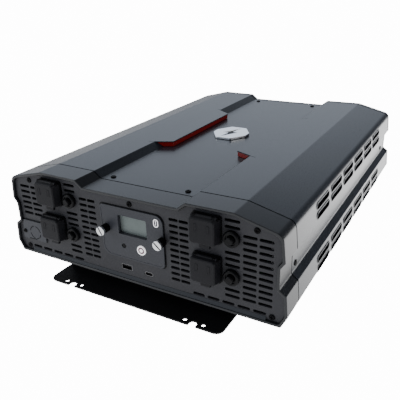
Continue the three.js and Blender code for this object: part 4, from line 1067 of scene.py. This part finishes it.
def wiring_cover():
    """The cover of the mains wiring, with a knockout held by four bridges, and its screw."""
    low, high = COVER_LOW, COVER_HIGH
    corners = [(low.x, low.z, 3), (high.x, low.z, 2), (high.x, high.z, 2), (low.x + 3.5, high.z, 2)]
    plate = prism("wiring_cover_plate", rounded(corners), low.y, high.y)
    centre = ((low.x + high.x) / 2 + 2.4, (low.z + high.z) / 2 - 2)
    dashes = []
    for i in range(4):
        arc = []
        inner = KNOCKOUT_RADIUS - KNOCKOUT_SLIT
        for radius, order in ((KNOCKOUT_RADIUS, range(7)), (inner, range(6, -1, -1))):
            for k in order:
                angle = (i + 0.1 + 0.8 * k / 6) * math.pi / 2
                arc.append((centre[0] + radius * math.cos(angle), centre[1] + radius * math.sin(angle)))
        dashes.append(prism("dash", arc, low.y - 1, high.y + 1))
    dashes.append(block("finger_slot", (centre[0] - 11, low.y - 1, low.z - 1),
                        (centre[0] + 1, high.y + 1, low.z + 1.5)))
    cut(plate, *dashes)
    soften(plate, 0.25)
    dress(plate, PLATE, "grey_plastic", "case", "wiring_cover")
    screw = screw_model(COVER_SCREW)
    place = Matrix.Translation(Vector((-158, low.y, FLOOR + 27)) * MM)
    screw.data.transform(place @ Matrix.Rotation(math.pi / 2, 4, "X"))
    screw.name = "wiring_cover_screw"
    return dress(screw, BLACK_SCREW, "black_steel")


# ------------------------------------------------------------------ brackets
FOOT_DEPTH, FLANGE_DEPTH = 39.2, 34


def bracket(node):
    """A folded sheet foot with two open notches and four holes in its lower flange."""
    low, high = box_of(node)
    side = -1 if node.startswith("front") else 1
    outer = low.y if side < 0 else high.y
    web = outer - side * FOOT_DEPTH
    back = web - side * FLANGE_DEPTH
    inner, top = web + side * SHEET, high.z
    sheet = [
        (outer, 0, 0), (web, 0, 2.6), (web, top - SHEET, 0.8), (back, top - SHEET, 0),
        (back, top, 0), (inner, top, 2.6), (inner, SHEET, 0.8), (outer, SHEET, 0),
    ]
    foot = prism(f"{node}_sheet", rounded(sheet), low.x, high.x, "X")
    tools = []
    for x in (-78.5, 78.5):
        edge = sorted((outer + side * 4, outer - side * 3.3))
        notch = block("notch", (x - 4.2, edge[0], -1), (x + 4.2, edge[1], 3))
        add(notch, drum("round", (x, outer - side * 3.3), 4.2, -1, 3, "Z", 32))
        tools.append(notch)
        for shift in (-10.6, 10.6):
            tools.append(drum("hole", (x + shift, outer - side * 6), 2.3, -1, 3, "Z", 28))
    for way in (-1, 1):
        x = way * high.x
        corner = [(x + way * 2, outer + side * 2), (x - way * 9, outer + side * 2)]
        for k in range(7):
            angle = k / 6 * math.pi / 2
            corner.append((x - way * (9 - 9 * math.sin(angle)), outer - side * (9 - 9 * math.cos(angle))))
        corner.append((x + way * 2, outer - side * 9))
        tools.append(prism("corner", corner, -1, 3, "Z"))
    cut(foot, *tools)
    soften(foot, 0.3)
    return dress(foot, BLACK_STEEL, "black_steel", "case", node)


# ------------------------------------------------------------------ rear fittings
def rear_panel():
    low, high = box_of("rear_panel")
    panel = prism("rear_panel_plate", section(CAP_WALL + SEAM), low.y, high.y)
    tools = []
    for side in ("left", "right"):
        at = middle(f"fan_frame_{side}")
        tools.append(drum("fan_opening", (at.x, at.z), 37, low.y - 1, high.y + 1, sides=72))
    for node in ("positive_terminal", "negative_terminal"):
        at = middle(node)
        tools.append(drum("hole", (at.x, at.z), TERMINAL_SHANK + 0.5, low.y - 1, high.y + 1))
    at = middle("remote_port")
    tools.append(prism("opening", rounded_box(at.x, at.z, 16.5, 14.5, 0.6), low.y - 1, high.y + 1))
    at = middle("ground_stud")
    tools.append(drum("hole", (at.x, at.z), 3.5, low.y - 1, high.y + 1, sides=28))
    cut(panel, *tools)
    soften(panel, 0.3)
    return dress(panel, TEXTURED, "cap_plastic", "case", "rear_panel")


FAN_BLADES = 7
BLADE_ROOT, BLADE_TIP = 14, 35
BLADE_CUTS = 5


def fan_blade(at, y):
    """One flat blade, cut up and bent into a leaning, twisted sweep."""
    blade = block("blade", (at.x + BLADE_ROOT, y, at.z - 12), (at.x + BLADE_TIP, y + 1.4, at.z + 12))
    choose(blade, lambda centre, normal: True)
    bpy.ops.mesh.subdivide(number_cuts=BLADE_CUTS)
    leave()
    for point in blade.data.vertices:
        radius = point.co.x / MM - at.x
        across = point.co.z / MM - at.z
        share = (radius - BLADE_ROOT) / (BLADE_TIP - BLADE_ROOT)
        reach = 0.55 + 0.25 * share
        pitch = 0.75 - 0.3 * share
        arc = (across * reach * math.cos(pitch) + 4 * share) / radius
        point.co.x = (at.x + radius * math.cos(arc)) * MM
        point.co.z = (at.z + radius * math.sin(arc)) * MM
        point.co.y += across * reach * math.sin(pitch) * MM
    return blade


def fan(side):
    """One rear fan: its frame with struts, its wheel and its wire guard."""
    low, high, at = span_of(f"fan_frame_{side}")
    shroud = prism(f"fan_frame_{side}_shroud", rounded_box(at.x, at.z, FAN_SIZE, FAN_SIZE, 4), low.y, high.y)
    cut(shroud, drum("bore", (at.x, at.z), FAN_BORE, low.y - 1, high.y + 1, sides=96))
    long, half = FAN_BORE + 0.5, FAN_STRUT / 2
    cross = block("strut", (at.x - long, low.y, at.z - half), (at.x + long, low.y + 3, at.z + half))
    add(cross, block("strut", (at.x - half, low.y, at.z - long), (at.x + half, low.y + 3, at.z + long)))
    add(cross, drum("motor_seat", (at.x, at.z), FAN_HUB, low.y, low.y + 3))
    add(shroud, cross)
    soften(shroud, 0.4)
    dress(shroud, BLACK, "black_plastic", "case", f"fan_frame_{side}")

    low, high = box_of(f"fan_rotor_{side}")
    hub = drum(f"fan_rotor_{side}_wheel", (at.x, at.z), FAN_HUB, low.y, high.y - 1.2, sides=56)
    round_rim(hub, REARWARD, 1.6)
    dish(hub, REARWARD, 5, -0.5)
    blade = fan_blade(at, low.y + 7)
    blades = []
    for k in range(FAN_BLADES):
        turn = turn_about(Vector((at.x, 0, at.z)), 2 * math.pi * k / FAN_BLADES)
        blades.append(copy_of(blade, "blade", (0, 0, 0), turn))
    bpy.data.objects.remove(blade)
    for one in blades:
        add(hub, one)
    soften(hub, 0)
    dress(hub, BLACK, "black_plastic", f"fan_{side}", f"fan_rotor_{side}")

    low, high = box_of(f"fan_guard_{side}")
    wires = []
    for radius in GUARD_RINGS:
        bpy.ops.object.select_all(action="DESELECT")
        bpy.ops.mesh.primitive_torus_add(
            location=Vector((at.x, high.y - 0.9, at.z)) * MM, rotation=(math.pi / 2, 0, 0),
            major_segments=64, minor_segments=8, major_radius=radius * MM, minor_radius=GUARD_WIRE * MM)
        wires.append(settle(bpy.context.object, "wire"))
    for k in range(4):
        spoke = drum("spoke", (0, high.y - 0.9), GUARD_WIRE, 6, 43, "Z", 10)
        tip = drum("foot", (0, 42), 2.6, low.y, high.y - 0.3, "Y", 20)
        leg = joined([spoke, tip], "leg")
        leg.data.transform(Matrix.Translation(Vector((at.x, 0, at.z)) * MM)
                           @ Matrix.Rotation((k + 0.5) * math.pi / 2, 4, "Y"))
        wires.append(leg)
    centre = drum("boss", (at.x, at.z), GUARD_BOSS, high.y - 1.8, high.y, sides=40)
    dish(centre, REARWARD, 1.5, 0.5)
    wires.append(centre)
    guard = joined(wires, f"fan_guard_{side}_wires")
    soften(guard, 0)
    return dress(guard, NICKEL, "bright_steel", "case", f"fan_guard_{side}")


def threaded(name, at, radius, low, high):
    """A stud whose thread is a row of rounded rings."""
    stud = drum(name, (at.x, at.z), radius - 0.35, low, high, sides=32)
    round_rim(stud, REARWARD, 0.5, 2)
    pitch = 1.25
    for k in range(int((high - low - 1.5) / pitch)):
        y = low + 0.5 + (k + 0.5) * pitch
        ring = drum("thread", (at.x, at.z), radius, y - 0.28, y + 0.28, sides=32)
        add(stud, ring)
    return stud


def terminal(sign, material, slot_name):
    """A battery terminal: its base, threaded stud and fluted knob."""
    node = f"{sign}_terminal"
    low, high, at = span_of(node)
    start = BACK + SEAM
    base = prism(f"{node}_base", rounded_box(at.x, at.z, TERMINAL_SIDE, TERMINAL_SIDE, 4), start, start + 5)
    round_rim(base, REARWARD, 1.2)
    dish(base, REARWARD, 2.5, 0.6)
    add(base, drum("shank", (at.x, at.z), TERMINAL_SHANK, low.y, start + 1))
    cut(base, drum("bore", (at.x, at.z), TERMINAL_STUD + 0.2, start - 2, start + 6))
    soften(base, 0)
    dress(base, material, slot_name, "case", node)
    stud = threaded(f"{node}_stud", at, TERMINAL_STUD, start - 1, high.y - 0.6)
    soften(stud, 0)
    dress(stud, NICKEL, "bright_steel")

    low, high = box_of(f"{sign}_knob")
    knob = prism(f"{sign}_knob_cap", ring_points(at.x, at.z, KNOB_RADIUS, 64, KNOB_FLUTE), low.y, high.y)
    dish(knob, REARWARD, 2.2, 0.6)
    cut(knob, drum("bore", (at.x, at.z), TERMINAL_STUD + 0.3, low.y - 1, low.y + 9.2))
    soften(knob, 0.3)
    return dress(knob, material, slot_name, f"knob_{sign}", f"{sign}_knob")


def ground_stud():
    """A hexagonal nut on a threaded stud."""
    low, high, at = span_of("ground_stud")
    nut = prism("ground_nut", ring_points(at.x, at.z, 6, 6), BACK + SEAM, BACK + 5.4)
    soften(nut, 0.4)
    dress(nut, NICKEL, "bright_steel", "case", "ground_stud")
    stud = threaded("ground_thread", at, 3, low.y, high.y)
    soften(stud, 0)
    return dress(stud, NICKEL, "bright_steel")


def remote_port():
    low, high, at = span_of("remote_port")
    shell_block = block("remote_socket", low, high)
    cut(shell_block, block("hollow", (at.x - 6, low.y + 2, at.z - 4.5), (at.x + 6, high.y + 1, at.z + 4)))
    cut(shell_block, block("latch", (at.x - 3, low.y + 2, at.z - 6), (at.x + 3, high.y + 1, at.z - 4)))
    soften(shell_block, 0.25)
    dress(shell_block, BLACK, "black_plastic", "case", "remote_port")
    pins = []
    for k in (-2.5, -1.5, -0.5, 0.5, 1.5, 2.5):
        x = at.x + k * 1.27
        pins.append(block("pin", (x - 0.25, low.y + 3, at.z + 2.6), (x + 0.25, high.y - 2, at.z + 3.1)))
    contacts = joined(pins, "remote_contacts")
    soften(contacts, 0.08, 1)
    return dress(contacts, COPPER, "copper")


# ------------------------------------------------------------------ what stays a plain solid inside
def inside():
    """Gives the inner parts, which keep their plain shape, their finishes."""
    finishes = {
        "main_board": BOARD, "display_board": BOARD, "wiring_block": BLACK,
        "heat_sink_left": ALUMINIUM, "heat_sink_right": ALUMINIUM,
        "front_transformer": WINDING, "rear_transformer": WINDING,
        "front_capacitor": SLEEVE, "rear_capacitor": SLEEVE,
        "positive_bus_bar": COPPER, "negative_bus_bar": COPPER,
    }
    for node, material in finishes.items():
        piece = frame["nodes"][node]
        piece.data.materials.clear()
        piece.data.materials.append(material)


# ------------------------------------------------------------------ stage, camera and light
FLOOR_GLOW = 2
FLOOR_LEAN = (3, 6, 0)
FLOOR_RANGE = (1.1, 3.8)
FLOOR_WHITE = 14


def stage():
    """The pale floor. The camera sees it white; as a light it is dimmer, and brightest rear right."""
    bpy.ops.object.select_all(action="DESELECT")
    bpy.ops.mesh.primitive_plane_add(size=40, location=(0, 0, -0.0005))
    floor = bpy.context.object
    floor.name = "studio_floor"
    pale, nodes, links, shader = new_finish("pale_floor")
    shader.inputs["Base Color"].default_value = (0.5, 0.5, 0.5, 1)
    shader.inputs["Roughness"].default_value = 0.9
    shader.inputs["Emission Color"].default_value = (1, 1, 1, 1)
    place = nodes.new("ShaderNodeTexCoord")
    lean = nodes.new("ShaderNodeVectorMath")
    lean.operation = "DOT_PRODUCT"
    lean.inputs[1].default_value = FLOOR_LEAN
    glow = nodes.new("ShaderNodeMath")
    glow.inputs[1].default_value = FLOOR_GLOW
    bounded = nodes.new("ShaderNodeClamp")
    bounded.inputs["Min"].default_value, bounded.inputs["Max"].default_value = FLOOR_RANGE
    reach = nodes.new("ShaderNodeVectorMath")
    reach.operation = "LENGTH"
    fade = nodes.new("ShaderNodeMapRange")
    for key, value in (("From Min", 0.8), ("From Max", 1.4), ("To Min", 1), ("To Max", 0.2)):
        fade.inputs[key].default_value = value
    dimmed = nodes.new("ShaderNodeMath")
    dimmed.operation = "MULTIPLY"
    seen = nodes.new("ShaderNodeLightPath")
    chosen = nodes.new("ShaderNodeMix")
    chosen.inputs["B"].default_value = FLOOR_WHITE
    links.new(place.outputs["Object"], lean.inputs[0])
    links.new(lean.outputs["Value"], glow.inputs[0])
    links.new(glow.outputs[0], bounded.inputs["Value"])
    links.new(place.outputs["Object"], reach.inputs[0])
    links.new(reach.outputs["Value"], fade.inputs["Value"])
    links.new(bounded.outputs[0], dimmed.inputs[0])
    links.new(fade.outputs["Result"], dimmed.inputs[1])
    links.new(dimmed.outputs[0], chosen.inputs["A"])
    links.new(seen.outputs["Is Camera Ray"], chosen.inputs["Factor"])
    links.new(chosen.outputs["Result"], shader.inputs["Emission Strength"])
    floor.data.materials.append(pale)


def camera():
    """The camera, turned by its azimuth, elevation and roll in degrees."""
    azimuth, elevation, roll = (math.radians(v) for v in (29.96, 23.73, -1.61))
    back = Vector((math.sin(azimuth) * math.cos(elevation), -math.cos(azimuth) * math.cos(elevation),
                   math.sin(elevation)))
    level = Vector((math.cos(azimuth), math.sin(azimuth), 0))
    up = back.cross(level)
    right = math.cos(roll) * level + math.sin(roll) * up
    over = -math.sin(roll) * level + math.cos(roll) * up
    data = bpy.data.cameras.new("camera")
    data.lens = 45.5
    data.sensor_width = 36
    data.clip_start = 0.01
    eye = bpy.data.objects.new("camera", data)
    bpy.context.scene.collection.objects.link(eye)
    eye.matrix_world = Matrix.Translation((0.2928, -0.5922, 0.3161)) @ Matrix(
        (right, over, back)).transposed().to_4x4()
    bpy.context.scene.camera = eye


def lamp(name, place, target, size, power):
    """A rectangular soft box aimed at a place, in metres."""
    data = bpy.data.lights.new(name, "AREA")
    data.shape = "RECTANGLE"
    data.size, data.size_y = size
    data.energy = power
    piece = bpy.data.objects.new(name, data)
    bpy.context.scene.collection.objects.link(piece)
    piece.location = place
    piece.rotation_euler = (Vector(target) - Vector(place)).to_track_quat("-Z", "Y").to_euler()


def light():
    """A pale room that is bright low down and darker overhead, with soft boxes."""
    world = bpy.data.worlds.new("studio")
    bpy.context.scene.world = world
    world.use_nodes = True
    nodes, links = world.node_tree.nodes, world.node_tree.links
    place = nodes.new("ShaderNodeTexCoord")
    split = nodes.new("ShaderNodeSeparateXYZ")
    ramp = nodes.new("ShaderNodeValToRGB")
    stops = ((0, 0.35), (0.12, 0.6), (0.2, 1), (0.36, 1.2), (0.5, 0.85), (0.64, 0.2), (1, 0.05))
    for i, (height, level) in enumerate(stops):
        stop = ramp.color_ramp.elements[0] if i == 0 else ramp.color_ramp.elements.new(height)
        stop.position = height
        stop.color = (level * 0.89, level * 0.98, level * 1.12, 1)
    links.new(place.outputs["Generated"], split.inputs["Vector"])
    links.new(split.outputs["Z"], ramp.inputs["Fac"])
    links.new(ramp.outputs["Color"], nodes["Background"].inputs["Color"])
    shade = nodes.new("ShaderNodeMapRange")
    for key, value in (("From Min", -0.2), ("From Max", 0.25), ("To Min", 1), ("To Max", 0.15)):
        shade.inputs[key].default_value = value
    links.new(split.outputs["X"], shade.inputs["Value"])
    links.new(shade.outputs["Result"], nodes["Background"].inputs["Strength"])
    lamp("left_box", (-1.6, -1.2, 1.2), (0, 0, 0.05), (1.4, 1.0), 12)
    lamp("right_box", (1.7, -0.1, 0.7), (0, 0, 0.05), (1.2, 0.8), 6)


camera()
top_cover()
base_pan()
vent_collars("cover_vent_rims", SIDE_VENT_LEVELS[:2])
vent_collars("pan_vent_rims", SIDE_VENT_LEVELS[2:])
shade_sheet(-1, "shade_sheet_left")
shade_sheet(1, "shade_sheet_right")
end_cap("front_cap_ring", "front_cap", FRONT, SEAM_FRONT - (SEAM + CAP_SEAM) / 2)
end_cap("rear_cap_ring", "rear_cap", REAR, SEAM_REAR + (SEAM + CAP_SEAM) / 2)
front_panel()
seam_shade_strip("front_seam_shade", SEAM_FRONT, 1)
seam_shade_strip("rear_seam_shade", SEAM_REAR, -1)
trim(-1, "left_trim_lens")
trim(1, "right_trim_lens")
badge()
casing_screws()
for side, row in PLACES:
    outlet(side, row)
    lid(side, row)
    breaker(side, row)
display()
for side in ("left", "right"):
    thumbscrew(side)
    fan(side)
usb_port("usb_a_port", 0.6, (10.5, 1.6, 1.2))
usb_port("usb_c_port", 2.3, (6.8, 0.8, 0))
wiring_cover()
bracket("front_bracket")
bracket("rear_bracket")
rear_panel()
terminal("positive", RED, "red_plastic")
terminal("negative", BLACK, "black_plastic")
ground_stud()
remote_port()
inside()
stage()
light()
